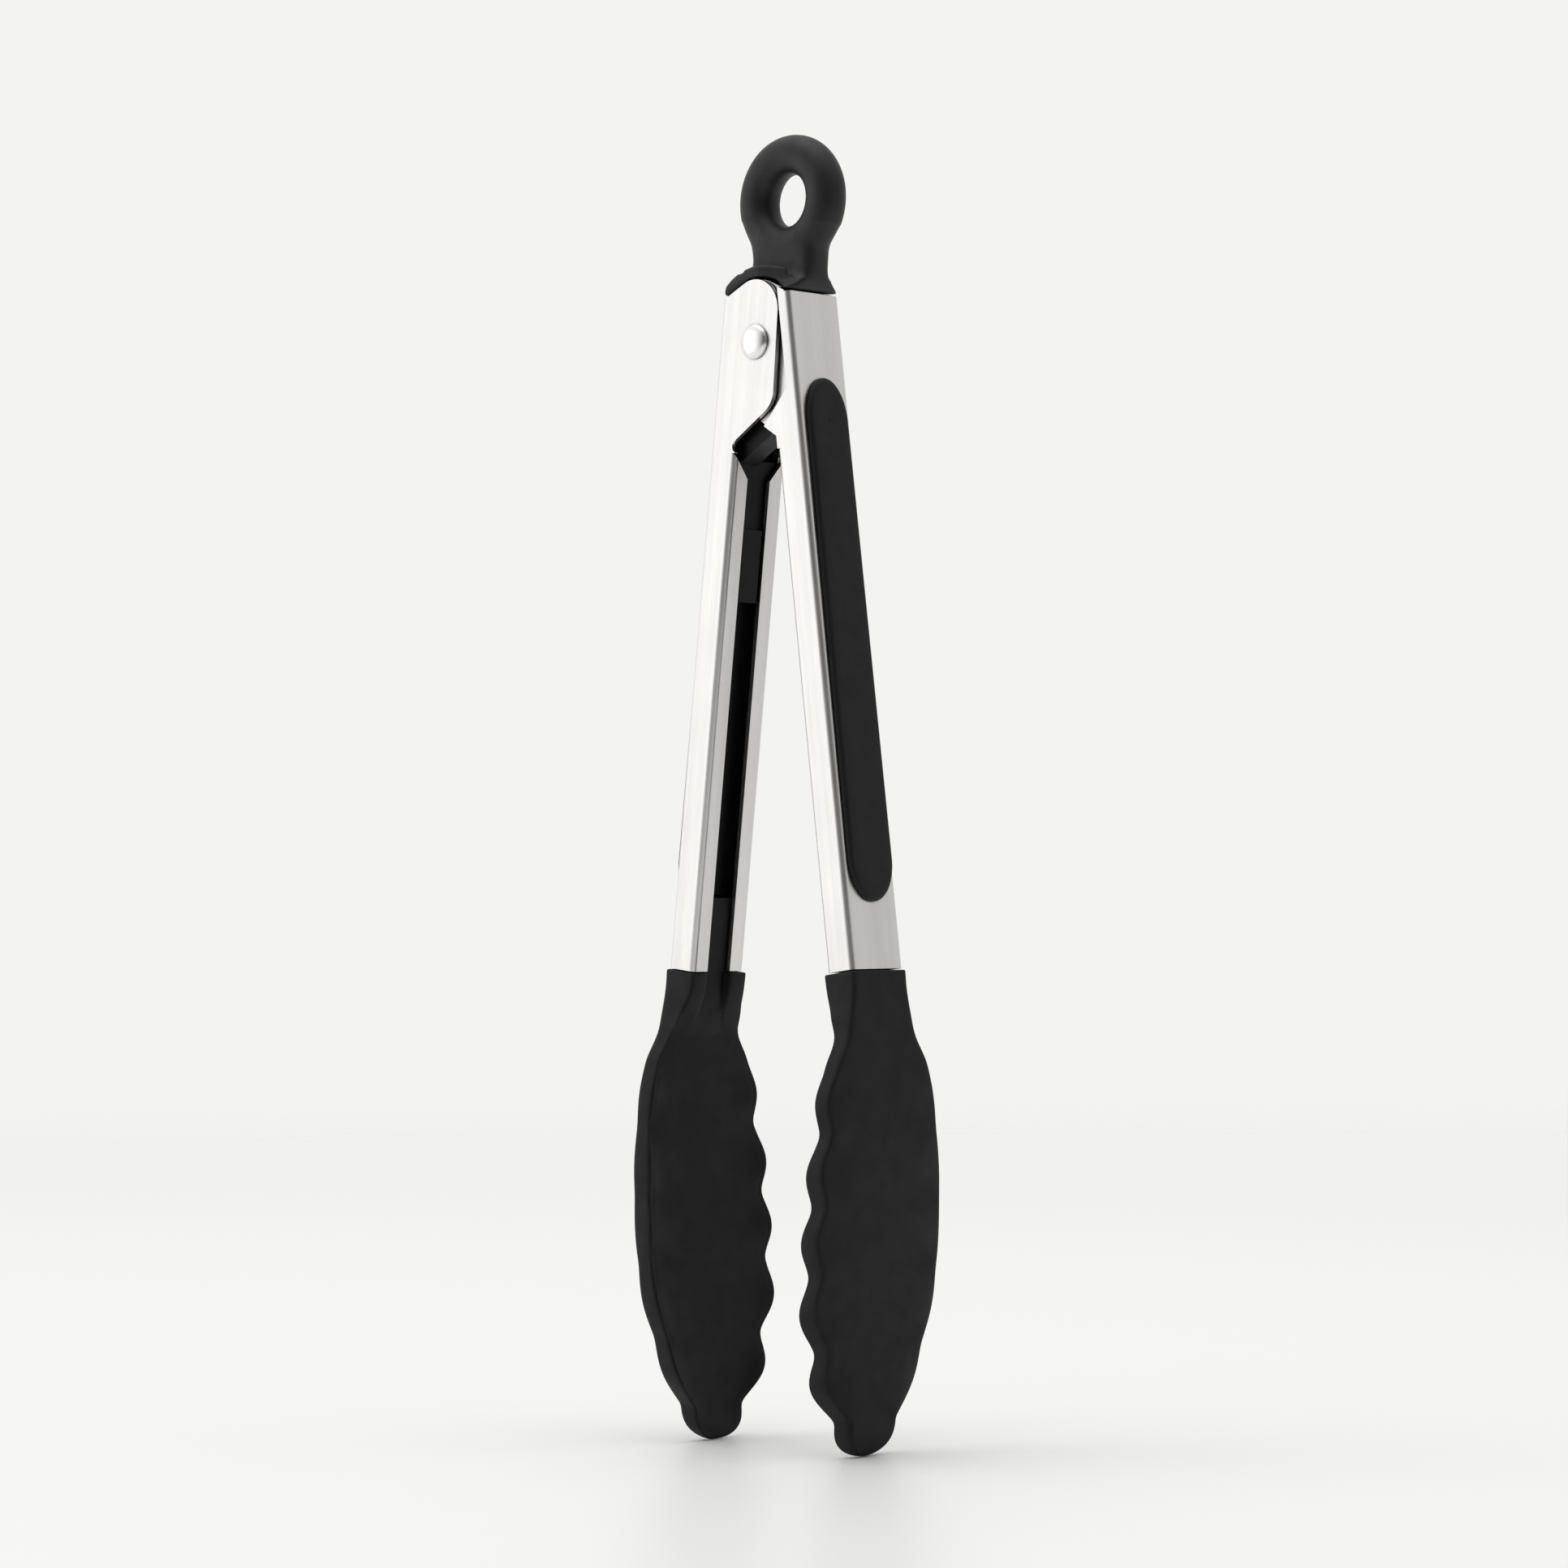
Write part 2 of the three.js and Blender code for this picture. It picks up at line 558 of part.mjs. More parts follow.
// how far the scallop at this drop stands out, sideways ('wide') or towards the other head
function scallop(drop, key) {
  for (let i = 0; i < SCALLOPS.length; i += 1) {
    const from = HEAD_STATIONS[SCALLOP_START + i].drop;
    const to = HEAD_STATIONS[SCALLOP_START + i + 1].drop;
    if (drop > from && drop < to) {
      return SCALLOPS[i][key] * Math.sin(Math.PI * (drop - from) / (to - from)) ** SCALLOP_POWER;
    }
  }
  return 0;
}

function headHalf(drop) {
  if (drop >= lastStation.drop) {
    const along = Math.min((drop - lastStation.drop) / TIP_LOBE, 1);
    return lastStation.half * Math.sqrt(1 - along ** TIP_POWER);
  }
  return halfLine(drop) + scallop(drop, 'wide');
}

// the shape with its right edge through the given points and its left edge the mirror of it
function mirrored(right) {
  const left = right.map(([y, z]) => [-y, z]).reverse();
  return polygon([...left, ...right].reverse());
}

// the silicone's outline seen from the back, with finer steps towards the tip
function headOutline() {
  const step = 1.9;
  const count = Math.ceil(HEAD_LENGTH / step);
  const right = [];
  for (let i = 0; i <= count; i += 1) {
    const drop = HEAD_LENGTH * (1 - (1 - i / count) ** 1.15);
    right.push([Math.max(headHalf(drop), SEAM / 2), HEAD_TOP - drop]);
  }
  return mirrored(right);
}

// an outline from a half width at each drop, drawn in to a round end by the given power
function taperedOutline(halfAt, top, bottom, count, power) {
  const right = [];
  for (let i = 0; i <= count; i += 1) {
    const drop = top + (bottom - top) * i / count;
    const taper = Math.sqrt(Math.max(1 - (i / count) ** power, 0.02));
    right.push([halfAt(Math.max(drop, 0)) * taper, HEAD_TOP - drop]);
  }
  return mirrored(right);
}

// the space between two side lines, drawn in (x, z)
function sideBand(front, back, top, bottom, steps) {
  const ahead = [];
  const behind = [];
  for (let i = 0; i <= steps; i += 1) {
    const drop = top + (bottom - top) * i / steps;
    ahead.push([front(drop), HEAD_TOP - drop]);
    behind.push([back(drop), HEAD_TOP - drop]);
  }
  return polygon([...ahead, ...behind.reverse()]);
}

function funnelShare(drop) {
  const share = (drop - FUNNEL_TOP) / (FUNNEL_END - FUNNEL_TOP);
  return THREE.MathUtils.smoothstep(share, 0, 1);
}

// front face of the core: the tang's face, sinking to the thin plate in the paddle
function coreFront(drop) {
  const plate = backLine(drop) - HEAD_SKIN - GAP - CORE_PLATE;
  return THREE.MathUtils.lerp(CHANNEL_FRONT, plate, funnelShare(drop));
}

function coreBack(drop) {
  const tang = INNER_BACK - 2 * GAP;
  const plate = backLine(drop) - HEAD_SKIN - GAP;
  return Math.min(tang, plate);
}

function coreHalf(drop) {
  return THREE.MathUtils.lerp(TANG_HALF, headHalf(drop) - CORE_EDGE, funnelShare(drop));
}

// the core inside the silicone, or with grow = GAP the pocket that it fills
function headCorePaddle(grow) {
  const bottom = HEAD_LENGTH - CORE_END_MARGIN + grow;
  const top = grow > 0 ? -1 : -2;
  const band = alongY(sideBand(
    (drop) => coreFront(Math.max(drop, 0)) - grow,
    (drop) => coreBack(Math.max(drop, 0)) + grow, top, bottom, 24), -FAR, FAR);
  const halfAt = (drop) => Math.max(coreHalf(drop) + grow, 1);
  const outline = taperedOutline(halfAt, top, bottom, 30, CORE_END_POWER);
  return band.intersect(alongX(outline, -FAR, FAR));
}

function headCore() {
  const back = INNER_BACK - 2 * GAP;
  const tang = alongZ(
    roundedRect(CHANNEL_FRONT, back, -TANG_HALF, TANG_HALF, TANG_CORNER), HEAD_TOP, TANG_TOP, 3);
  return headCorePaddle(0).add(tang);
}

function hollowFloor(drop) {
  const plate = coreFront(drop) - GAP - HEAD_SKIN;
  const open = coreFront(0) + 2 * SEAM;
  const share = (drop - FUNNEL_TOP) / FUNNEL_STEP;
  return THREE.MathUtils.lerp(open, plate, THREE.MathUtils.smoothstep(share, 0, 1));
}

function headHollow() {
  const bottom = HEAD_LENGTH - HOLLOW_END_WALL;
  const band = alongY(sideBand(
    () => -FAR, (drop) => hollowFloor(Math.max(drop, 0)), -1, bottom, 40), -FAR, FAR);
  const halfAt = (drop) => {
    const wide = headHalf(drop) - HEAD_WALL;
    return Math.max(THREE.MathUtils.lerp(LIP_GAP / 2, wide, funnelShare(drop)), 0.8);
  };
  return band.intersect(alongX(taperedOutline(halfAt, -1, bottom, 44, HOLLOW_END_POWER), -FAR, FAR));
}

function headCover() {
  const band = alongY(sideBand(
    (drop) => rimLine(drop) - scallop(drop, 'forward'), backLine, 0, HEAD_LENGTH, 64), -FAR, FAR);
  const outline = alongX(headOutline(), -FAR, FAR);
  return band.intersect(outline).subtract(headHollow()).subtract(headCorePaddle(GAP));
}

// ---------- lock slide and pull tab ----------
// height of the collar's underside in the tab's frame, at a given x
function collarRestAt(x) {
  return (COLLAR_REST - x * Math.sin(OPEN_TILT)) / Math.cos(OPEN_TILT);
}

function lockSlide() {
  const slotHalf = BUSH_RADIUS + GAP;
  const railTop = collarRestAt(COLLAR_OFFSET + COLLAR_WIDTH / 2) - GAP;
  const railEnd = -(LOCK_TRAVEL + slotHalf + SLIDE_SLOT_END);
  const rails = box(-SLIDE_HALF_WIDTH, SLIDE_HALF_WIDTH, SLIDE_LOW, SLIDE_HIGH, railEnd, railTop);
  const slotShape = new THREE.Shape();
  slotShape.absarc(0, 0, slotHalf, 0, Math.PI, false);
  slotShape.absarc(0, -LOCK_TRAVEL, slotHalf, Math.PI, 2 * Math.PI, false);
  slotShape.closePath();
  const slot = alongY(slotShape, -FAR, FAR, 12);
  const neck = box(-CORE_NECK_WIDTH / 2, CORE_NECK_WIDTH / 2,
    -CORE_NECK_DEPTH / 2, CORE_NECK_DEPTH / 2, railTop - 1, CORE_NECK_TOP);
  const tailBack = CARRIER_FRONT - GAP;
  const footEnd = -(LIP_START + FOOT_PAST_LIP);
  const foot = alongY(polygon([
    [-SLIDE_HALF_WIDTH, railEnd + 1],
    [-SLIDE_HALF_WIDTH, railEnd],
    [CHANNEL_FRONT, footEnd],
    [tailBack, footEnd],
    [tailBack, railEnd + 1],
  ]), SLIDE_LOW, SLIDE_HIGH);
  const half = INNER_HALF - GAP;
  const tail = box(CHANNEL_FRONT, tailBack, -half, half, TAIL_END, footEnd + 1);
  const ridge = box(LIP_FACE + TAIL_RIDGE_STEP, CHANNEL_FRONT + 1, -TAIL_RIDGE_HALF, TAIL_RIDGE_HALF,
    TAIL_END, -(LIP_START + LIP_SLANT + LOCK_TRAVEL));
  return rails.subtract(slot).add(neck).add(foot).add(tail).add(ridge);
}

// a level section of the tab's neck or collar: a rounded rectangle at a height
function tabSection(width, depth, offset, corner, height) {
  const radius = Math.min(corner, depth / 3);
  const shape = roundedRect(offset - width / 2, offset + width / 2, -depth / 2, depth / 2, radius);
  return shape.getPoints(5).slice(0, -1).map((point) => [point.x, point.y, height]);
}

// a closed skin through sections that all have the same number of points
function loft(sections) {
  const count = sections[0].length;
  const positions = sections.flat(2);
  const index = [];
  for (let s = 0; s + 1 < sections.length; s += 1) {
    for (let i = 0; i < count; i += 1) {
      const a = s * count + i;
      const b = s * count + (i + 1) % count;
      index.push(a, b, b + count, a, b + count, a + count);
    }
  }
  const last = (sections.length - 1) * count;
  for (let i = 1; i + 1 < count; i += 1) {
    index.push(0, i + 1, i);
    index.push(last, last + i, last + i + 1);
  }
  const geometry = new THREE.BufferGeometry();
  geometry.setAttribute('position', new THREE.Float32BufferAttribute(positions, 3));
  geometry.setIndex(index);
  return toSolid(geometry);
}

function tabBody() {
  const { lerp } = THREE.MathUtils;
  const sections = [
    tabSection(COLLAR_WIDTH, COLLAR_DEPTH, COLLAR_OFFSET, COLLAR_CORNER, 0),
    tabSection(COLLAR_WIDTH, COLLAR_DEPTH, COLLAR_OFFSET, COLLAR_CORNER, COLLAR_BAND_TOP),
  ];
  const steps = 5;
  for (let i = 1; i <= steps; i += 1) {
    const along = i / steps;
    const share = Math.sin(along * Math.PI / 2);
    sections.push(tabSection(
      lerp(COLLAR_WIDTH, NECK_WIDTH, share),
      lerp(COLLAR_DEPTH, NECK_DEPTH, share),
      lerp(COLLAR_OFFSET, NECK_OFFSET, share),
      lerp(COLLAR_CORNER, NECK_CORNER, share),
      COLLAR_BAND_TOP + COLLAR_FLARE * along));
  }
  sections.push(tabSection(
    NECK_WIDTH, 2 * LOOP_TUBE_RADIUS - GAP, NECK_TOP_OFFSET, NECK_CORNER, LOOP_CENTRE - LOOP_RING_RADIUS));
  const underside = box(-FAR, FAR, -FAR, FAR, -FAR, COLLAR_REST);
  return loft(sections).add(collarHood())
    .subtract(underside.rotate([0, THREE.MathUtils.radToDeg(OPEN_TILT), 0]));
}

// the raised arch on each side of the collar, round the ears
function collarHood() {
  const shape = new THREE.Shape();
  shape.absellipse(HOOD_CENTRE_X, HOOD_CENTRE_Z, HOOD_REACH, HOOD_RISE, 0, 2 * Math.PI, false, -OPEN_TILT);
  const end = COLLAR_OFFSET - COLLAR_WIDTH / 2;
  const half = COLLAR_DEPTH / 2;
  const slabs = bothSides((side) => {
    const low = side > 0 ? half - HOOD_THICKNESS : -half;
    return alongY(shape, low, low + HOOD_THICKNESS, 20);
  });
  const fade = polygon([
    [HOOD_END, -half],
    [HOOD_END, half],
    [HOOD_FADE_START, half],
    [end, HOOD_FADE_HALF],
    [end, -HOOD_FADE_HALF],
    [HOOD_FADE_START, -half],
  ]);
  return slabs.intersect(alongZ(fade, 0, FAR));
}

function loopRing() {
  const profile = [];
  const sides = 14;
  for (let i = 0; i <= sides; i += 1) {
    const angle = i / sides * 2 * Math.PI;
    profile.push(new THREE.Vector2(
      LOOP_RING_RADIUS + LOOP_TUBE_RADIUS * Math.cos(angle), LOOP_TUBE_RADIUS * Math.sin(angle)));
  }
  const geometry = new THREE.LatheGeometry(profile, 32);
  geometry.translate(0, 0, LOOP_CENTRE);
  return toSolid(geometry);
}

// the space that the ears sweep, in the outer arm's frame
function earSweep() {
  const outer = bothSides((side) => {
    const low = side > 0 ? EAR_IN_OUT : -FAR;
    return alongY(earShape(GAP), low, low + FAR - EAR_IN_OUT, 12);
  });
  const positions = 5;
  let swept = outer;
  for (let i = 0; i < positions; i += 1) {
    const apart = 2 * OPEN_TILT - CLOSE_ANGLE * i / (positions - 1);
    const ear = bothSides((side) => {
      const low = side > 0 ? EAR_IN_IN - GAP : -FAR;
      return alongY(earShape(GAP + 0.05), low, low + FAR - EAR_IN_IN + GAP, 12);
    });
    swept = swept.add(ear.rotate([0, 0, 180]).rotate([0, THREE.MathUtils.radToDeg(apart), 0]));
  }
  return swept;
}

function pullLoop() {
  const pocket = box(
    -CORE_NECK_WIDTH / 2 - GAP, CORE_NECK_WIDTH / 2 + GAP,
    -CORE_NECK_DEPTH / 2 - GAP, CORE_NECK_DEPTH / 2 + GAP,
    0, CORE_NECK_TOP + GAP);
  const hole = alongY(circle(0, LOOP_CENTRE, LOOP_RING_RADIUS - LOOP_TUBE_RADIUS), -FAR, FAR, 16);
  const ring = loopRing();
  const neck = tabBody().subtract(hole);
  return neck.add(ring).subtract(earSweep()).subtract(pocket);
}

// ---------- assembly ----------
function piece(name, solid, material) {
  const mesh = new THREE.Mesh(toGeometry(solid), material);
  mesh.name = name;
  return mesh;
}

function gripAndHead(prefix) {
  return [
    piece(`${prefix}_grip_carrier`, gripCarrier(), nylon()),
    piece(`${prefix}_grip_pad`, gripPad(), softBlack()),
    piece(`${prefix}_head_core`, headCore(), nylon()),
    piece(`${prefix}_head_cover`, headCover(), silicone()),
  ];
}

// the outer arm is on the -X side, so its frame is turned half round the vertical;
// the tab, its slide and the spring are drawn in the same frame
const outerSide = new THREE.Group();
outerSide.rotation.z = Math.PI;
outerSide.add(
  piece('outer_arm', outerArm(), steel()),
  piece('hinge_rivet', hingeRivet(), brightSteel()),
  piece('pivot_bush', pivotBush(), steel()),
  piece('torsion_spring', torsionSpring(), springWire()),
  piece('lock_slide', lockSlide(), nylon()),
  piece('pull_loop', pullLoop(), softBlack()),
  ...gripAndHead('outer'),
);

const outerTilt = new THREE.Group();
outerTilt.rotation.y = OPEN_TILT;
outerTilt.add(outerSide);

const innerTilt = new THREE.Group();
innerTilt.rotation.y = -OPEN_TILT;
innerTilt.add(piece('inner_arm', innerArm(), steel()), ...gripAndHead('inner'));

const tongs = new THREE.Group();
tongs.position.set(
  -LOOP_CENTRE * Math.sin(OPEN_TILT), 0, -LOOP_CENTRE * Math.cos(OPEN_TILT));
tongs.add(outerTilt, innerTilt);

const group = new THREE.Group();
group.add(tongs);

export default group;
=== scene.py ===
import json
import math

import bmesh
import bpy
from bpy.props import FloatProperty, FloatVectorProperty, PointerProperty
from mathutils import Matrix, Vector


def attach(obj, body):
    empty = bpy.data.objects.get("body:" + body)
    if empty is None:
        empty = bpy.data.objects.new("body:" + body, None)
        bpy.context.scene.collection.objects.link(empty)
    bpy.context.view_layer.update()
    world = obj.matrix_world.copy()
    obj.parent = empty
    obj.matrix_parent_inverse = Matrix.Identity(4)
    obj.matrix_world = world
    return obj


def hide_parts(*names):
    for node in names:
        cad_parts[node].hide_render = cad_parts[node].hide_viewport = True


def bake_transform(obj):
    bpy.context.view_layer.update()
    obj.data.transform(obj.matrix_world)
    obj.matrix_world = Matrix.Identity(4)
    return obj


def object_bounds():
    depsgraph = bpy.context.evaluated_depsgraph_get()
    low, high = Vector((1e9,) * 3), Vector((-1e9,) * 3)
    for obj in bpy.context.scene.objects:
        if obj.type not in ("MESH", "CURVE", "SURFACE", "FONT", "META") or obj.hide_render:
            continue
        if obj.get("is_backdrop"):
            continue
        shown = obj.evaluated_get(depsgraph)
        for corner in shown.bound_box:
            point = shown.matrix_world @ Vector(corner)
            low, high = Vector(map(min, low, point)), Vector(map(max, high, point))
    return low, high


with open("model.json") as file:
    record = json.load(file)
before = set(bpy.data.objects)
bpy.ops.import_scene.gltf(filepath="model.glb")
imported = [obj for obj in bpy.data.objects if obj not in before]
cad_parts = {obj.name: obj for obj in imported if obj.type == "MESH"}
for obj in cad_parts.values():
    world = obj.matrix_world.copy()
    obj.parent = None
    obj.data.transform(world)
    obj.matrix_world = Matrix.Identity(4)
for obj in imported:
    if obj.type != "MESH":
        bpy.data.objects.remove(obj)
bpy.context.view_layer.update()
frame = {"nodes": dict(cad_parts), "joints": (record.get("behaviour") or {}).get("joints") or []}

bl_info = {
    "name": "Kitchen Tongs",
    "version": (1, 0, 0),
    "blender": (4, 5, 0),
    "location": "3D View > Sidebar > Tongs",
    "description": "Finished pieces, materials and stage for spring loaded kitchen tongs",
    "category": "Add Mesh",
}

MM = 0.001

# the hinge and the lean of the arms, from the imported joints
JOINTS = {joint["name"]: joint for joint in frame["joints"]}
HINGE = Vector(JOINTS["arm_hinge"]["pos_m"])
TAB_AXIS = Vector(JOINTS["tab_slide"]["axis"])
LEAN = math.atan2(TAB_AXIS.x, TAB_AXIS.z)

# each arm's frame: x outwards from the middle plane, y the hinge axis, z up along the arm
OUTER = Matrix.Translation(HINGE) @ Matrix.Rotation(LEAN, 4, "Y") @ Matrix.Rotation(math.pi, 4, "Z")
INNER = Matrix.Translation(HINGE) @ Matrix.Rotation(-LEAN, 4, "Y")
SIDES = {"outer": (OUTER, "outer_side"), "inner": (INNER, "inner_side")}

# steel arms
ARM_BACK = 10.2
ARM_REACH = 126.75
ARM_HALF = 7.35
GAP = 0.3
SEAM = 0.02    # hair between a piece and the steel it rests on

# heads, as in the CAD: distance below the steel, rim, back face and half width
STATIONS = [
    (0.0, 2.6, 10.7, 7.85),
    (4.0, 2.9, 10.5, 7.95),
    (9.0, 4.5, 10.1, 8.9),
    (13.0, 5.8, 9.8, 9.9),
    (19.0, 5.5, 9.3, 13.2),
    (31.3, 4.5, 8.2, 15.1),
    (45.2, 1.5, 6.0, 16.4),
    (58.3, -0.8, 3.3, 16.5),
    (73.0, -4.2, 0.2, 13.5),
    (86.8, -7.0, -2.4, 6.9),
]
SCALLOPS = [(1.0, 1.2), (1.2, 1.6), (1.0, 1.5), (1.6, 1.6), (1.9, 1.6)]
SCALLOP_START = 4
BACK_WAVE = 0.6
HEAD_LENGTH = 93.7
TANG_FRONT = 4.4
FUNNEL = (5.0, 21.0)
GROOVE_HALF = 3.2
SIDE_EASE = 0.04        # keeps the wavy sides inside the outline of the solid


# ---------- shared helpers ----------
def smooth_step(value, low, high):
    share = min(max((value - low) / (high - low), 0.0), 1.0)
    return share * share * (3 - 2 * share)


def mix(a, b, share):
    return a + (b - a) * share


def clear_piece(name):
    old = bpy.data.objects.get(name)
    if old is not None:
        bpy.data.objects.remove(old, do_unlink=True)


def new_piece(name, bm, material, body, nodes=(), smooth=True):
    """Makes a bmesh a finished object that rides on a body and stands for CAD nodes."""
    clear_piece(name)
    mesh = bpy.data.meshes.new(name)
    for face in bm.faces:
        face.smooth = smooth
    bm.to_mesh(mesh)
    bm.free()
    piece = bpy.data.objects.new(name, mesh)
    bpy.context.scene.collection.objects.link(piece)
    mesh.materials.append(material)
    if body:
        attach(piece, body)
    if nodes:
        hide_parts(*nodes)
    return piece


def transform_mm(bm, matrix):
    """Takes a bmesh drawn in millimetres in an arm's frame to its place in metres."""
    bmesh.ops.scale(bm, vec=(MM, MM, MM), verts=bm.verts)
    bmesh.ops.transform(bm, matrix=matrix, verts=bm.verts)


def bake_modifiers(piece):
    """Replaces a piece's mesh with what its modifiers make of it."""
    graph = bpy.context.evaluated_depsgraph_get()
    baked = bpy.data.meshes.new_from_object(piece.evaluated_get(graph))
    baked.name = piece.name
    piece.modifiers.clear()
    piece.data = baked


def weighted_normals(piece):
    modifier = piece.modifiers.new("Even shading", "WEIGHTED_NORMAL")
    modifier.keep_sharp = True
    modifier.weight = 80


def merged_copy(node):
    """A bmesh of a CAD node with its loose triangles joined and its flat faces whole."""
    bm = bmesh.new()
    bm.from_mesh(frame["nodes"][node].data)
    bmesh.ops.remove_doubles(bm, verts=bm.verts, dist=0.002 * MM)
    bmesh.ops.dissolve_limit(bm, angle_limit=math.radians(0.6), verts=bm.verts, edges=bm.edges)
    return bm


def soften_edges(bm, width, segments, angle=35):
    """Bevels every edge that turns by more than the angle."""
    limit = math.radians(angle)
    sharp = [e for e in bm.edges if e.is_manifold and e.calc_face_angle() > limit]
    bmesh.ops.bevel(
        bm, geom=sharp, offset=width * MM, offset_type="OFFSET", segments=segments, profile=0.5,
        affect="EDGES", clamp_overlap=True, material=-1, miter_outer="ARC", miter_inner="SHARP")


def skin(columns, rows, place):
    """A closed-round skin from a grid: place(i, j) gives the point of column i in row j."""
    bm = bmesh.new()
    bmesh.ops.create_grid(bm, x_segments=columns, y_segments=rows, size=1.0)
    for vert in bm.verts:
        i = round((vert.co.x + 1) / 2 * columns) % columns
        j = round((vert.co.y + 1) / 2 * rows)
        vert.co = place(i, j)
    bmesh.ops.remove_doubles(bm, verts=bm.verts, dist=1e-6)
    rims = [edge for edge in bm.edges if edge.is_boundary]
    bmesh.ops.holes_fill(bm, edges=rims, sides=0)
    bmesh.ops.recalc_face_normals(bm, faces=bm.faces)
    return bm


# ---------- materials ----------
class NodeTree:
    """A short way to add and join shader nodes."""

    def __init__(self, name):
        self.material = bpy.data.materials.get(name) or bpy.data.materials.new(name)
        self.material.use_nodes = True
        self.tree = self.material.node_tree
        self.tree.nodes.clear()
        self.shader = self.add("ShaderNodeBsdfPrincipled")
        out = self.add("ShaderNodeOutputMaterial")
        self.join(self.shader, "BSDF", out, "Surface")
        self.coords = self.add("ShaderNodeTexCoord")

    def add(self, kind, **values):
        node = self.tree.nodes.new(kind)
        for key, value in values.items():
            if key in node.inputs:
                node.inputs[key].default_value = value
            else:
                setattr(node, key, value)
        return node

    def join(self, a, out, b, into):
        self.tree.links.new(a.outputs[out], b.inputs[into])

    def mapped(self, lean, scale):
        """Object coordinates turned upright by the lean, then stretched."""
        turn = self.add("ShaderNodeMapping")
        turn.inputs["Rotation"].default_value = (0, lean, 0)
        self.join(self.coords, "Object", turn, "Vector")
        stretch = self.add("ShaderNodeMapping")
        stretch.inputs["Scale"].default_value = scale
        self.join(turn, "Vector", stretch, "Vector")
        return stretch

    def noise(self, source, scale, detail=3.0, roughness=0.5):
        node = self.add("ShaderNodeTexNoise")
        node.inputs["Scale"].default_value = scale
        node.inputs["Detail"].default_value = detail
        node.inputs["Roughness"].default_value = roughness
        output = "Object" if source is self.coords else "Vector"
        self.join(source, output, node, "Vector")
        return node

    def spread(self, source, low, high, start=0.3, end=0.7):
        """Maps a noise's middle range onto a range of values."""
        node = self.add("ShaderNodeMapRange")
        node.inputs["From Min"].default_value = start
        node.inputs["From Max"].default_value = end
        node.inputs["To Min"].default_value = low
        node.inputs["To Max"].default_value = high
        self.join(source, "Fac" if "Fac" in source.outputs else "Result", node, "Value")
        return node

    def tint(self, source, dark, light, start=0.3, end=0.7):
        ramp = self.add("ShaderNodeValToRGB")
        ramp.color_ramp.elements[0].position = start
        ramp.color_ramp.elements[0].color = (*dark, 1)
        ramp.color_ramp.elements[1].position = end
        ramp.color_ramp.elements[1].color = (*light, 1)
        self.join(source, "Fac", ramp, "Fac")
        self.join(ramp, "Color", self.shader, "Base Color")
        return ramp

    def paint_crevice_shade(self, ramp, distance, level):
        """Paints shade into the colour in narrow gaps, where little light gets in."""
        open_share = self.add("ShaderNodeAmbientOcclusion", samples=8)
        open_share.inputs["Distance"].default_value = distance * MM
        depth = self.add("ShaderNodeMapRange")
        depth.inputs["From Min"].default_value = 0.25
        depth.inputs["From Max"].default_value = 0.8
        depth.inputs["To Min"].default_value = level
        depth.inputs["To Max"].default_value = 1.0
        self.join(open_share, "AO", depth, "Value")
        times = self.add("ShaderNodeVectorMath", operation="SCALE")
        self.join(ramp, "Color", times, 0)
        self.join(depth, "Result", times, "Scale")
        self.join(times, "Vector", self.shader, "Base Color")

    def bump(self, source, strength, distance, after=None):
        node = self.add("ShaderNodeBump")
        node.inputs["Strength"].default_value = strength
        node.inputs["Distance"].default_value = distance * MM
        self.join(source, "Fac", node, "Height")
        if after is not None:
            self.join(after, "Normal", node, "Normal")
        return node


def shade(colour, factor):
    return tuple(min(channel * factor, 1.0) for channel in colour)


def brushed_steel(name, colour, lean, roughness=0.3, grain=1.0):
    nodes = NodeTree(name)
    streaks = nodes.noise(nodes.mapped(lean, (5200, 5200, 55)), 1.0, detail=4.0, roughness=0.6)
    bands = nodes.noise(nodes.mapped(lean, (420, 420, 9)), 1.0, detail=2.0)
    smudges = nodes.noise(nodes.coords, 60.0, detail=2.0)
    ramp = nodes.tint(bands, shade(colour, 0.94), shade(colour, 1.04))
    # painted shade: the steel's colour is darkened in narrow gaps and grooves
    nodes.paint_crevice_shade(ramp, 2.2, 0.12)
    rough = nodes.spread(streaks, roughness - 0.05, roughness + 0.06)
    wear = nodes.spread(smudges, -0.03, 0.04)
    total = nodes.add("ShaderNodeMath", operation="ADD")
    nodes.join(rough, "Result", total, 0)
    nodes.join(wear, "Result", total, 1)
    nodes.join(total, "Value", nodes.shader, "Roughness")
    fine = nodes.bump(streaks, 0.12 * grain, 0.012)
    coarse = nodes.bump(bands, 0.06 * grain, 0.03, after=fine)
    nodes.join(coarse, "Normal", nodes.shader, "Normal")
    nodes.shader.inputs["Metallic"].default_value = 1.0
    nodes.shader.inputs["Anisotropic"].default_value = 0.35
    return nodes.material


def polished_steel(name, colour, roughness):
    nodes = NodeTree(name)
    marks = nodes.noise(nodes.coords, 900.0, detail=3.0)
    waves = nodes.noise(nodes.coords, 260.0, detail=1.0)
    nodes.tint(waves, shade(colour, 0.96), shade(colour, 1.03))
    rough = nodes.spread(marks, roughness - 0.04, roughness + 0.06)
    nodes.join(rough, "Result", nodes.shader, "Roughness")
    nodes.join(nodes.bump(waves, 0.1, 0.02), "Normal", nodes.shader, "Normal")
    nodes.shader.inputs["Metallic"].default_value = 1.0
    return nodes.material


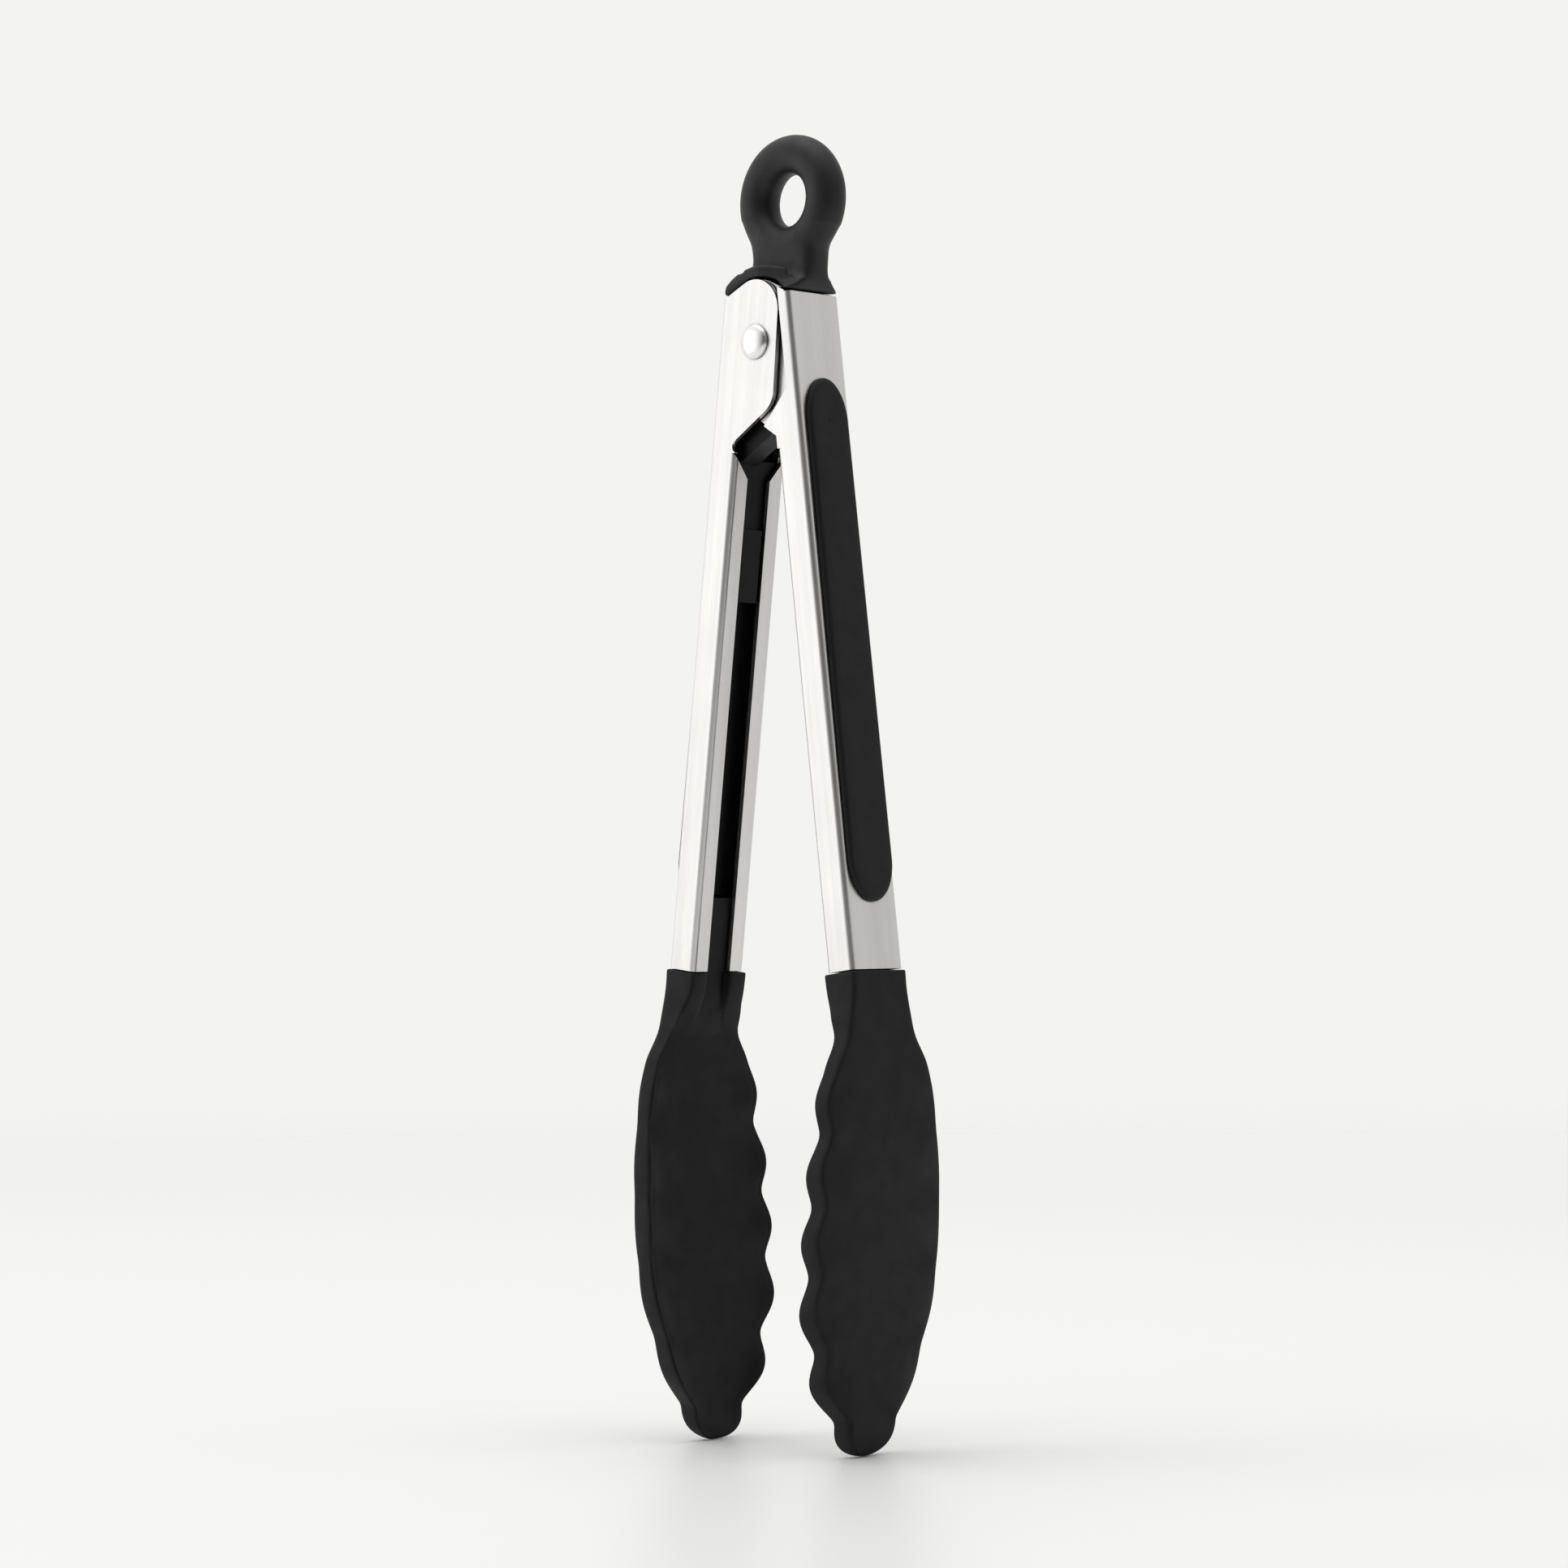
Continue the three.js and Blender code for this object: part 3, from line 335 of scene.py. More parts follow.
def matte_black(name, colour, roughness, grain_scale, grain, specular):
    """Soft or moulded black: fine texture, cloudy tone and uneven gloss."""
    nodes = NodeTree(name)
    cloud = nodes.noise(nodes.coords, 70.0, detail=3.0)
    fine = nodes.noise(nodes.coords, grain_scale, detail=2.0, roughness=0.6)
    handled = nodes.noise(nodes.coords, 240.0, detail=3.0)
    nodes.tint(cloud, shade(colour, 0.86), shade(colour, 1.16))
    rough = nodes.spread(handled, roughness - 0.05, roughness + 0.06)
    nodes.join(rough, "Result", nodes.shader, "Roughness")
    soft = nodes.bump(fine, grain, 0.03)
    dents = nodes.bump(handled, 0.05, 0.08, after=soft)
    nodes.join(dents, "Normal", nodes.shader, "Normal")
    nodes.shader.inputs["Specular IOR Level"].default_value = specular
    return nodes.material


def finishes():
    """The finishes by name, made once from the colours that the user sets."""
    colours = bpy.context.scene.tongs_colours
    steel = tuple(colours.steel)
    return {
        "outer_steel": brushed_steel("Brushed steel, outer arm", steel, -LEAN),
        "inner_steel": brushed_steel("Brushed steel, inner arm", steel, LEAN),
        "rivet": polished_steel("Polished rivet", tuple(colours.rivet), 0.22),
        "wire": polished_steel("Spring wire", shade(steel, 0.8), 0.3),
        "soft": matte_black("Soft black grip", tuple(colours.grip), 0.54, 2600, 0.22, 0.25),
        "tab": matte_black("Soft black tab", tuple(colours.grip), 0.52, 2600, 0.22, 0.42),
        "silicone": matte_black("Black silicone", tuple(colours.silicone), 0.62, 1800, 0.12, 0.27),
        "nylon": matte_black("Black nylon", tuple(colours.nylon), 0.42, 1200, 0.2, 0.17),
    }


# ---------- steel and hidden parts ----------
def finished_node(node, name, material, body, width=0.18, segments=2, angle=35):
    """A CAD part with its cut edges eased, in place of the plain one."""
    bm = merged_copy(node)
    soften_edges(bm, width, segments, angle)
    piece = new_piece(name, bm, material, body, (node,))
    weighted_normals(piece)
    return piece


RIVET_SHANK = 2.0       # radius of the shank under the domes
RIVET_CHAMFER = 0.12
RIVET_EDGE = 0.14       # height of the chamfer over the steel
RIVET_RIM = 0.32        # height where the dome starts
DOME_STEPS = 14
DOME_POWER = 0.92       # slightly fuller than round


def rivet_profile(radius, height, seat):
    """Half of the domed head's outline, from its rim to its crown."""
    points = [(radius - RIVET_CHAMFER, seat), (radius, seat + RIVET_EDGE), (radius, seat + RIVET_RIM)]
    for i in range(1, DOME_STEPS + 1):
        angle = i / DOME_STEPS * math.pi / 2
        rise = RIVET_RIM + (height - RIVET_RIM) * math.sin(angle) ** DOME_POWER
        points.append((radius * math.cos(angle), seat + rise))
    return points


def make_rivet(size, material):
    seat = ARM_HALF + SEAM
    head = rivet_profile(size.rivet_radius, size.rivet_height, seat)
    outline = [(0.0, -head[-1][1])]
    outline += [(max(r, 0.0), -y) for r, y in reversed(head[:-1])]
    outline += [(RIVET_SHANK, -seat), (RIVET_SHANK, seat)]
    outline += head[:-1] + [(0.0, head[-1][1])]
    bm = bmesh.new()
    verts = [bm.verts.new((r, y, 0)) for r, y in outline]
    edges = [bm.edges.new(pair) for pair in zip(verts, verts[1:])]
    bmesh.ops.spin(
        bm, geom=verts + edges, cent=(0, 0, 0), axis=(0, 1, 0), angle=2 * math.pi, steps=56, use_merge=True)
    bmesh.ops.remove_doubles(bm, verts=bm.verts, dist=1e-4)
    bmesh.ops.recalc_face_normals(bm, faces=bm.faces)
    transform_mm(bm, OUTER)
    return new_piece("rivet_domed", bm, material, "outer_side", ("hinge_rivet",))


# ---------- grips ----------
def make_pad(side, size, material):
    matrix, body = SIDES[side]
    half = size.pad_width / 2
    bm = bmesh.new()
    bmesh.ops.create_circle(bm, cap_ends=True, segments=96, radius=half)
    turn = Matrix(((0, 0, 1, 0), (0, 1, 0, 0), (-1, 0, 0, 0), (0, 0, 0, 1)))
    bmesh.ops.transform(bm, matrix=turn, verts=bm.verts)
    upper = [v for v in bm.verts if v.co.z > -1e-5]
    lower = [v for v in bm.verts if v.co.z < -1e-5]
    stretch = size.pad_end / half
    reach = size.pad_length / 2 - size.pad_end
    bmesh.ops.scale(bm, vec=(1, size.pad_top_width / size.pad_width, stretch), verts=upper)
    bmesh.ops.scale(bm, vec=(1, 1, stretch), verts=lower)
    bmesh.ops.translate(bm, vec=(0, 0, reach), verts=upper)
    bmesh.ops.translate(bm, vec=(0, 0, -reach), verts=lower)
    face = bm.faces[:][0]
    raised = bmesh.ops.extrude_face_region(bm, geom=[face])
    top_verts = [g for g in raised["geom"] if isinstance(g, bmesh.types.BMVert)]
    bmesh.ops.translate(bm, vec=(size.pad_rise, 0, 0), verts=top_verts)
    bmesh.ops.recalc_face_normals(bm, faces=bm.faces)
    top = max((f for f in bm.faces if len(f.verts) > 4), key=lambda f: f.calc_center_median().x)
    bmesh.ops.bevel(
        bm, geom=list(top.edges), offset=0.95, offset_type="OFFSET", segments=5, profile=0.5,
        affect="EDGES", clamp_overlap=True, material=-1)
    for thickness, rise in ((0.9, 0.04), (1.0, 0.02)):
        crown = max((f for f in bm.faces if len(f.verts) > 4), key=lambda f: f.calc_center_median().x)
        bmesh.ops.inset_region(bm, faces=[crown], thickness=thickness, depth=rise, use_even_offset=True)
    centre = -(size.pad_top + size.pad_length / 2)
    bmesh.ops.translate(bm, vec=(ARM_BACK + SEAM, 0, centre), verts=bm.verts)
    make_mould_pip(bm, ARM_BACK + size.pad_rise + 0.1, -(size.pad_top + 8.4))
    transform_mm(bm, matrix)
    piece = new_piece(f"{side}_grip", bm, material, body, (f"{side}_grip_pad",))
    weighted_normals(piece)
    return piece


def make_mould_pip(bm, height, level):
    """The small round mark that the mould leaves near the top of a pad."""
    made = bmesh.ops.create_uvsphere(bm, u_segments=12, v_segments=8, radius=0.34)
    squash = Matrix.Diagonal((0.35, 1, 1, 1))
    bmesh.ops.transform(bm, matrix=squash, verts=made["verts"])
    bmesh.ops.translate(bm, vec=(height - 0.03, 0, level), verts=made["verts"])


# ---------- silicone heads ----------
def station_line(column, end_value):
    """A smooth line through one column of the stations, by distance below the steel."""
    knots = [(row[0], row[column]) for row in STATIONS] + [(HEAD_LENGTH, end_value)]

    def slope(i):
        before = knots[max(i - 1, 0)]
        after = knots[min(i + 1, len(knots) - 1)]
        return (after[1] - before[1]) / (after[0] - before[0])

    def line(drop):
        i = 0
        while i < len(knots) - 2 and knots[i + 1][0] <= drop:
            i += 1
        span = knots[i + 1][0] - knots[i][0]
        t = min(max((drop - knots[i][0]) / span, 0.0), 1.0)
        a, b = 2 * t ** 3 - 3 * t ** 2 + 1, t ** 3 - 2 * t ** 2 + t
        c, d = -2 * t ** 3 + 3 * t ** 2, t ** 3 - t ** 2
        return a * knots[i][1] + b * span * slope(i) + c * knots[i + 1][1] + d * span * slope(i + 1)

    return line


RIM_LINE = station_line(1, STATIONS[-1][1] - 1.4)
BACK_LINE = station_line(2, STATIONS[-1][2] - 1.5)
HALF_LINE = station_line(3, 0.0)


def scallop(drop, way):
    """How far the wavy edge stands out at a drop, sideways (0) or towards the other head (1)."""
    for i, amounts in enumerate(SCALLOPS):
        start, end = STATIONS[SCALLOP_START + i][0], STATIONS[SCALLOP_START + i + 1][0]
        if start < drop < end:
            return amounts[way] * math.sin(math.pi * (drop - start) / (end - start)) ** 1.4
    return 0.0


def tip_share(drop):
    last = STATIONS[-1][0]
    return min(max((drop - last) / (HEAD_LENGTH - last), 0.0), 1.0)


def head_half(drop):
    if drop >= STATIONS[-1][0]:
        return STATIONS[-1][3] * math.sqrt(max(1 - tip_share(drop) ** 2.4, 0.0))
    return HALF_LINE(drop) + scallop(drop, 0)


# the hollow across its width: share of its half width and height from floor (0) to rim (1),
# square in the neck and bowl shaped in the paddle
NECK_HOLLOW = [(0.0, 0.0), (0.35, 0.0), (0.68, 0.0), (0.88, 0.05), (0.97, 0.25), (1.0, 0.6)]
BOWL_HOLLOW = [(0.0, 0.0), (0.3, 0.04), (0.55, 0.14), (0.76, 0.36), (0.9, 0.64), (0.98, 0.88)]


def head_hollow(drop, half, rim, floor):
    """The points of the hollow, from its middle to its rim."""
    funnel = smooth_step(drop, *FUNNEL)
    wide = max(mix(GROOVE_HALF, half - 1.3, funnel), 0.15 * half)
    points = []
    for (neck_y, neck_x), (bowl_y, bowl_x) in zip(NECK_HOLLOW, BOWL_HOLLOW):
        points.append((mix(floor, rim, mix(neck_x, bowl_x, funnel)), wide * mix(neck_y, bowl_y, funnel)))
    return points, wide


def head_section(drop, inset):
    """Half of the head's cross section at a drop, from the hollow's floor round to the back."""
    half = max(head_half(drop) - SIDE_EASE - inset, 0.05)
    wave = scallop(drop, 1)
    rim = RIM_LINE(drop) - wave + inset
    back = BACK_LINE(drop) - inset
    end = tip_share(drop)
    middle = (rim + back) / 2
    round_off = math.sqrt(max(1 - end ** 4, 0.02))
    rim, back = mix(middle, rim, round_off), mix(middle, back, round_off)
    side_back = back - wave * BACK_WAVE
    plate = BACK_LINE(drop) - 3.8
    core = mix(TANG_FRONT, plate, smooth_step(drop, *FUNNEL))
    floor = mix(TANG_FRONT + 0.4, core, smooth_step(drop, FUNNEL[0], FUNNEL[0] + 5))
    floor = mix(floor, rim + 0.15, smooth_step(end, 0.1, 0.6))
    floor = max(floor, rim + 0.1)
    hollow, wide = head_hollow(drop, half, rim, floor)
    lip = min(0.4, (floor - rim) * 0.4, (half - wide) * 0.3)
    edge = min(0.75, (side_back - rim) * 0.3, half * 0.4)
    return hollow + [
        (rim + lip * 0.5, wide + lip * 0.3),
        (rim + lip * 0.12, wide + lip * 0.9),
        (rim, mix(wide, half, 0.5)),
        (rim, half - lip * 1.5),
        (rim + lip * 0.25, half - lip * 0.55),
        (rim + lip, half - lip * 0.08),
        (mix(rim, side_back, 0.4), half),
        (mix(rim, side_back, 0.62), half),
        (side_back - edge, half - edge * 0.06),
        (side_back - edge * 0.32, half - edge * 0.36),
        (side_back - edge * 0.04, half - edge),
        (mix(side_back, back, 0.3), half * 0.84),
        (mix(side_back, back, 0.72), half * 0.68),
        (back, half * 0.5),
        (back, half * 0.25),
        (back, 0.0),
    ]


def make_head(side, material):
    matrix, body = SIDES[side]
    half_count = len(head_section(10.0, 0.0)) - 1
    columns = 2 * half_count
    top = -(ARM_REACH + GAP)
    # the first rows make the flat top and its small rounding
    start = [(0.0, 0.9), (0.0, 0.3), (0.07, 0.08), (0.3, 0.0), (0.8, 0.0)]
    body_rows = 100
    rows = body_rows + len(start)

    def row_at(j):
        if j < len(start):
            return start[j]
        share = (j - len(start) + 1) / (body_rows + 1)
        last = start[-1][0]
        drop = last + (HEAD_LENGTH - 0.02 - last) * (1 - (1 - share) ** 1.3)
        return drop, 0.0

    def place(i, j):
        drop, inset = row_at(j)
        points = head_section(drop, inset)
        x, y = points[i] if i <= half_count else points[columns - i]
        return Vector((x, y if i <= half_count else -y, top - drop))

    bm = skin(columns, rows, place)
    transform_mm(bm, matrix)
    piece = new_piece(f"{side}_silicone_head", bm, material, body, (f"{side}_head_cover",))
    rounding = piece.modifiers.new("Rounding", "SUBSURF")
    rounding.levels = 1
    rounding.render_levels = 1
    return piece


# ---------- pull tab ----------


TAB_VOXEL = 0.32        # grain of the skin over tab and ring
SKIN_PASSES = 18        # smoothing over the whole skin
WAIST_PASSES = 90       # more of it where the ring meets the neck
WAIST_LOW = 15.5        # the waist's reach below the loop's middle
WAIST_HIGH = 4.5
WAIST_HALF = 5.0        # it leaves the middle of the tab alone


def smooth_points(bm, verts, passes):
    for _ in range(passes):
        bmesh.ops.smooth_vert(
            bm, verts=verts, factor=0.5, use_axis_x=True, use_axis_y=True, use_axis_z=True)


def make_tab(size, material):
    bm = merged_copy("pull_loop")
    ring = bmesh.new()
    verts = bmesh.ops.create_circle(ring, segments=36, radius=size.ring_thickness / 2)["verts"]
    bmesh.ops.translate(ring, vec=(size.ring_radius, 0, 0), verts=verts)
    bmesh.ops.spin(
        ring, geom=ring.verts[:] + ring.edges[:], cent=(0, 0, 0), axis=(0, 1, 0),
        angle=2 * math.pi, steps=96, use_merge=True)
    bmesh.ops.remove_doubles(ring, verts=ring.verts, dist=1e-4)
    bmesh.ops.recalc_face_normals(ring, faces=ring.faces)
    bmesh.ops.translate(ring, vec=(0, 0, size.loop_height), verts=ring.verts)
    transform_mm(ring, OUTER)
    ring_mesh = bpy.data.meshes.new("ring")
    ring.to_mesh(ring_mesh)
    ring.free()
    bm.from_mesh(ring_mesh)
    bpy.data.meshes.remove(ring_mesh)
    piece = new_piece("pull_tab", bm, material, None)
    remesh = piece.modifiers.new("One skin", "REMESH")
    remesh.mode = "VOXEL"
    remesh.voxel_size = TAB_VOXEL * MM
    bake_modifiers(piece)
    shaped = bmesh.new()
    shaped.from_mesh(piece.data)
    smooth_points(shaped, shaped.verts, SKIN_PASSES)
    # where the ring grows out of the neck the two run into one another in a wide hollow curve
    to_tab = OUTER.inverted()
    low, high = size.loop_height - WAIST_LOW, size.loop_height - WAIST_HIGH
    places = [(v, to_tab @ v.co / MM) for v in shaped.verts]
    waist = [v for v, at in places if low < at.z < high and abs(at.x) > WAIST_HALF]
    smooth_points(shaped, waist, WAIST_PASSES)
    for face in shaped.faces:
        face.smooth = True
    shaped.to_mesh(piece.data)
    shaped.free()
    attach(piece, "lock_tab")
    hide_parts("pull_loop")
    return piece


# ---------- spring ----------
def make_spring(size, material):
    """A wound coil round the bush with a leg on each arm's back wall."""
    bm = merged_copy("torsion_spring")
    piece = new_piece("hinge_spring", bm, material, None, ("torsion_spring",))
    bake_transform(piece)
    return piece


# ---------- settings ----------
def length(name, description, default):
    return FloatProperty(name=name, description=description, default=default, min=0.0)


def colour(name, description, default):
    return FloatVectorProperty(
        name=name, description=description, default=default, subtype="COLOR", size=3, min=0.0, max=1.0)


class TongsSizes(bpy.types.PropertyGroup):
    pad_top: length("Pad top", "Distance of the grip's top below the hinge, in millimetres", 9.0)
    pad_length: length("Pad length", "Length of each grip pad, in millimetres", 104.6)
    pad_width: length("Pad width", "Width of each grip pad, in millimetres", 12.2)
    pad_top_width: length("Pad top width", "Width of each pad near its top, in millimetres", 11.2)
    pad_end: length("Pad end", "Length of the pads' rounded ends, in millimetres", 8.5)
    pad_rise: length("Pad rise", "Height of each pad over the steel, in millimetres", 1.3)
    rivet_radius: length("Rivet radius", "Radius of the rivet's head, in millimetres", 3.5)
    rivet_height: length("Rivet height", "Height of the rivet's dome, in millimetres", 1.5)
    ring_radius: length("Ring radius", "Radius to the middle of the ring's section, in millimetres", 9.15)
    ring_thickness: length("Ring thickness", "Thickness of the ring's section, in millimetres", 8.1)
    loop_height: length("Loop height", "Hinge to the middle of the loop, in millimetres", 28.8)
    wire: length("Spring wire", "Diameter of the spring wire, in millimetres", 1.0)
    edge_easing: length("Edge easing", "Rounding of the steel's cut edges, in millimetres", 0.16)


class TongsColours(bpy.types.PropertyGroup):
    steel: colour("Steel", "Colour of the brushed steel arms", (0.74, 0.73, 0.715))
    rivet: colour("Rivet", "Colour of the polished rivet", (0.84, 0.83, 0.82))
    grip: colour("Grip", "Colour of the soft grips and the tab", (0.0045, 0.0045, 0.0046))
    silicone: colour("Silicone", "Colour of the silicone heads", (0.0036, 0.0036, 0.0037))
    nylon: colour("Nylon", "Colour of the moulded nylon inside", (0.0035, 0.0035, 0.0035))
    floor: colour("Floor", "Colour of the floor", (0.89, 0.89, 0.88))
    backdrop: colour("Backdrop", "Colour behind the tongs", (0.895, 0.895, 0.885))


class TongsStage(bpy.types.PropertyGroup):
    azimuth: FloatProperty(
        name="Azimuth", description="Turn of the camera from the front", default=math.radians(44.0),
        subtype="ANGLE")
    distance: FloatProperty(
        name="Distance", description="Camera to the hinge's upright, in metres", default=0.8723,
        subtype="DISTANCE", unit="LENGTH")
    height: FloatProperty(
        name="Height", description="Camera over the floor, in metres", default=0.10914,
        subtype="DISTANCE", unit="LENGTH")
    pitch: FloatProperty(
        name="Pitch", description="Upward tilt of the camera", default=math.radians(1.499),
        subtype="ANGLE")
    roll: FloatProperty(
        name="Roll", description="Sideways lean of the camera", default=math.radians(0.324),
        subtype="ANGLE")
    lens: FloatProperty(
        name="Lens", description="Focal length on a 36 mm wide picture, in millimetres", default=100.34)


# ---------- operators ----------
class TONGS_OT_arms(bpy.types.Operator):
    """Make the two pressed steel arms with eased edges"""
    bl_idname = "tongs.arms"
    bl_label = "Steel arms"

    def execute(self, context):
        sizes = context.scene.tongs_sizes
        made = finishes()
        for side, (_, body) in SIDES.items():
            finished_node(
                f"{side}_arm", f"{side}_arm_steel", made[f"{side}_steel"], body,
                sizes.edge_easing)
        return {"FINISHED"}


class TONGS_OT_hinge(bpy.types.Operator):
    """Make the rivet, the bush and the spring of the hinge"""
    bl_idname = "tongs.hinge"
    bl_label = "Hinge"

    def execute(self, context):
        sizes = context.scene.tongs_sizes
        made = finishes()
        make_rivet(sizes, made["rivet"])
        make_spring(sizes, made["wire"])
        finished_node("pivot_bush", "bush_tube", made["wire"], "outer_side", 0.12)
        return {"FINISHED"}


class TONGS_OT_insides(bpy.types.Operator):
    """Make the moulded nylon parts inside the arms"""
    bl_idname = "tongs.insides"
    bl_label = "Nylon insides"

    def execute(self, context):
        nylon = finishes()["nylon"]
        finished_node("lock_slide", "slide_moulding", nylon, "lock_tab", 0.3)
        for side, (_, body) in SIDES.items():
            for part in ("grip_carrier", "head_core"):
                finished_node(f"{side}_{part}", f"{side}_{part}_moulding", nylon, body, 0.25)
        return {"FINISHED"}


class TONGS_OT_grips(bpy.types.Operator):
    """Make the two soft grip pads"""
    bl_idname = "tongs.grips"
    bl_label = "Grip pads"

    def execute(self, context):
        soft = finishes()["soft"]
        for side in SIDES:
            make_pad(side, context.scene.tongs_sizes, soft)
        return {"FINISHED"}


class TONGS_OT_heads(bpy.types.Operator):
    """Make the two scalloped silicone heads"""
    bl_idname = "tongs.heads"
    bl_label = "Silicone heads"

    def execute(self, context):
        silicone = finishes()["silicone"]
        for side in SIDES:
            make_head(side, silicone)
        return {"FINISHED"}


class TONGS_OT_tab(bpy.types.Operator):
    """Make the pull tab with its collar and hanging ring"""
    bl_idname = "tongs.tab"
    bl_label = "Pull tab"

    def execute(self, context):
        make_tab(context.scene.tongs_sizes, finishes()["tab"])
        return {"FINISHED"}


def stage_floor(level, colour_value):
    """A pale disc whose rim fades into the backdrop."""
    bm = bmesh.new()
    bmesh.ops.create_circle(bm, cap_ends=True, segments=96, radius=3.0)
    bmesh.ops.translate(bm, vec=(0, 0, level), verts=bm.verts)
    mesh = bpy.data.meshes.new("floor")
    bm.to_mesh(mesh)
    bm.free()
    floor = bpy.data.objects.new("floor", mesh)
    bpy.context.scene.collection.objects.link(floor)
    nodes = NodeTree("Pale floor")
    nodes.shader.inputs["Base Color"].default_value = (*colour_value, 1)
    nodes.shader.inputs["Roughness"].default_value = 0.42
    nodes.shader.inputs["Specular IOR Level"].default_value = 0.16
    away = nodes.add("ShaderNodeVectorMath", operation="LENGTH")
    nodes.join(nodes.coords, "Object", away, 0)
    fade = nodes.add("ShaderNodeMapRange", interpolation_type="SMOOTHSTEP")
    fade.inputs["From Min"].default_value = 0.45
    fade.inputs["From Max"].default_value = 1.6
    fade.inputs["To Min"].default_value = 1.0
    fade.inputs["To Max"].default_value = 0.0
    nodes.join(away, "Value", fade, "Value")
    nodes.join(fade, "Result", nodes.shader, "Alpha")
    mesh.materials.append(nodes.material)
    floor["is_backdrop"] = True


def stage_world(backdrop):
    """A pale surround that is darker behind the camera and to the back right."""
    world = bpy.data.worlds.new("Studio")
    bpy.context.scene.world = world
    world.use_nodes = True
    tree = world.node_tree
    tree.nodes.clear()
    coords = tree.nodes.new("ShaderNodeTexCoord")
    shades = None
    patches = (
        ((0.695, -0.719, 0.0), 0.30, 0.95, 0.12),
        ((0.70, 0.70, 0.12), 0.30, 0.95, 0.68),
    )
    for direction, start, end, level in patches:
        dot = tree.nodes.new("ShaderNodeVectorMath")
        dot.operation = "DOT_PRODUCT"
        dot.inputs[1].default_value = direction
        tree.links.new(coords.outputs["Generated"], dot.inputs[0])
        spread = tree.nodes.new("ShaderNodeMapRange")
        spread.interpolation_type = "SMOOTHSTEP"
        spread.inputs["From Min"].default_value = start
        spread.inputs["From Max"].default_value = end
        spread.inputs["To Min"].default_value = 1.0
        spread.inputs["To Max"].default_value = level
        tree.links.new(dot.outputs["Value"], spread.inputs["Value"])
        if shades is None:
            shades = spread.outputs["Result"]
            continue
        times = tree.nodes.new("ShaderNodeMath")
        times.operation = "MULTIPLY"
        tree.links.new(shades, times.inputs[0])
        tree.links.new(spread.outputs["Result"], times.inputs[1])
        shades = times.outputs["Value"]
    light = tree.nodes.new("ShaderNodeBackground")
    light.inputs["Color"].default_value = (1, 1, 1, 1)
    tree.links.new(shades, light.inputs["Strength"])
    plain = tree.nodes.new("ShaderNodeBackground")
    plain.inputs["Color"].default_value = (*backdrop, 1)
    path = tree.nodes.new("ShaderNodeLightPath")
    choose = tree.nodes.new("ShaderNodeMixShader")
    tree.links.new(path.outputs["Is Camera Ray"], choose.inputs["Fac"])
    tree.links.new(light.outputs["Background"], choose.inputs[1])
    tree.links.new(plain.outputs["Background"], choose.inputs[2])
    out = tree.nodes.new("ShaderNodeOutputWorld")
    tree.links.new(choose.outputs["Shader"], out.inputs["Surface"])


def stage_light(name, place, size, power, target):
    data = bpy.data.lights.new(name, "AREA")
    data.shape = "RECTANGLE"
    data.size, data.size_y = size
    data.energy = power
    lamp = bpy.data.objects.new(name, data)
    bpy.context.scene.collection.objects.link(lamp)
    lamp.location = place
    lamp.rotation_euler = (Vector(target) - Vector(place)).to_track_quat("-Z", "Y").to_euler()


def stage_camera(stage, floor_level):
    data = bpy.data.cameras.new("Camera")
    data.lens = stage.lens
    data.sensor_width = 36.0
    data.clip_start, data.clip_end = 0.05, 20.0
    camera = bpy.data.objects.new("Camera", data)
    bpy.context.scene.collection.objects.link(camera)
    out = Vector((math.sin(stage.azimuth), -math.cos(stage.azimuth), 0))
    camera.location = Vector((HINGE.x, 0, floor_level + stage.height)) + out * stage.distance
    ahead, up = -out, Vector((0, 0, 1))
    right = ahead.cross(up)
    leaned_right = right * math.cos(stage.roll) - up * math.sin(stage.roll)
    leaned_up = right * math.sin(stage.roll) + up * math.cos(stage.roll)
    forward = ahead * math.cos(stage.pitch) + leaned_up * math.sin(stage.pitch)
    top = leaned_up * math.cos(stage.pitch) - ahead * math.sin(stage.pitch)
    camera.rotation_mode = "QUATERNION"
    camera.rotation_quaternion = Matrix((leaned_right, top, -forward)).transposed().to_quaternion()
    bpy.context.scene.camera = camera


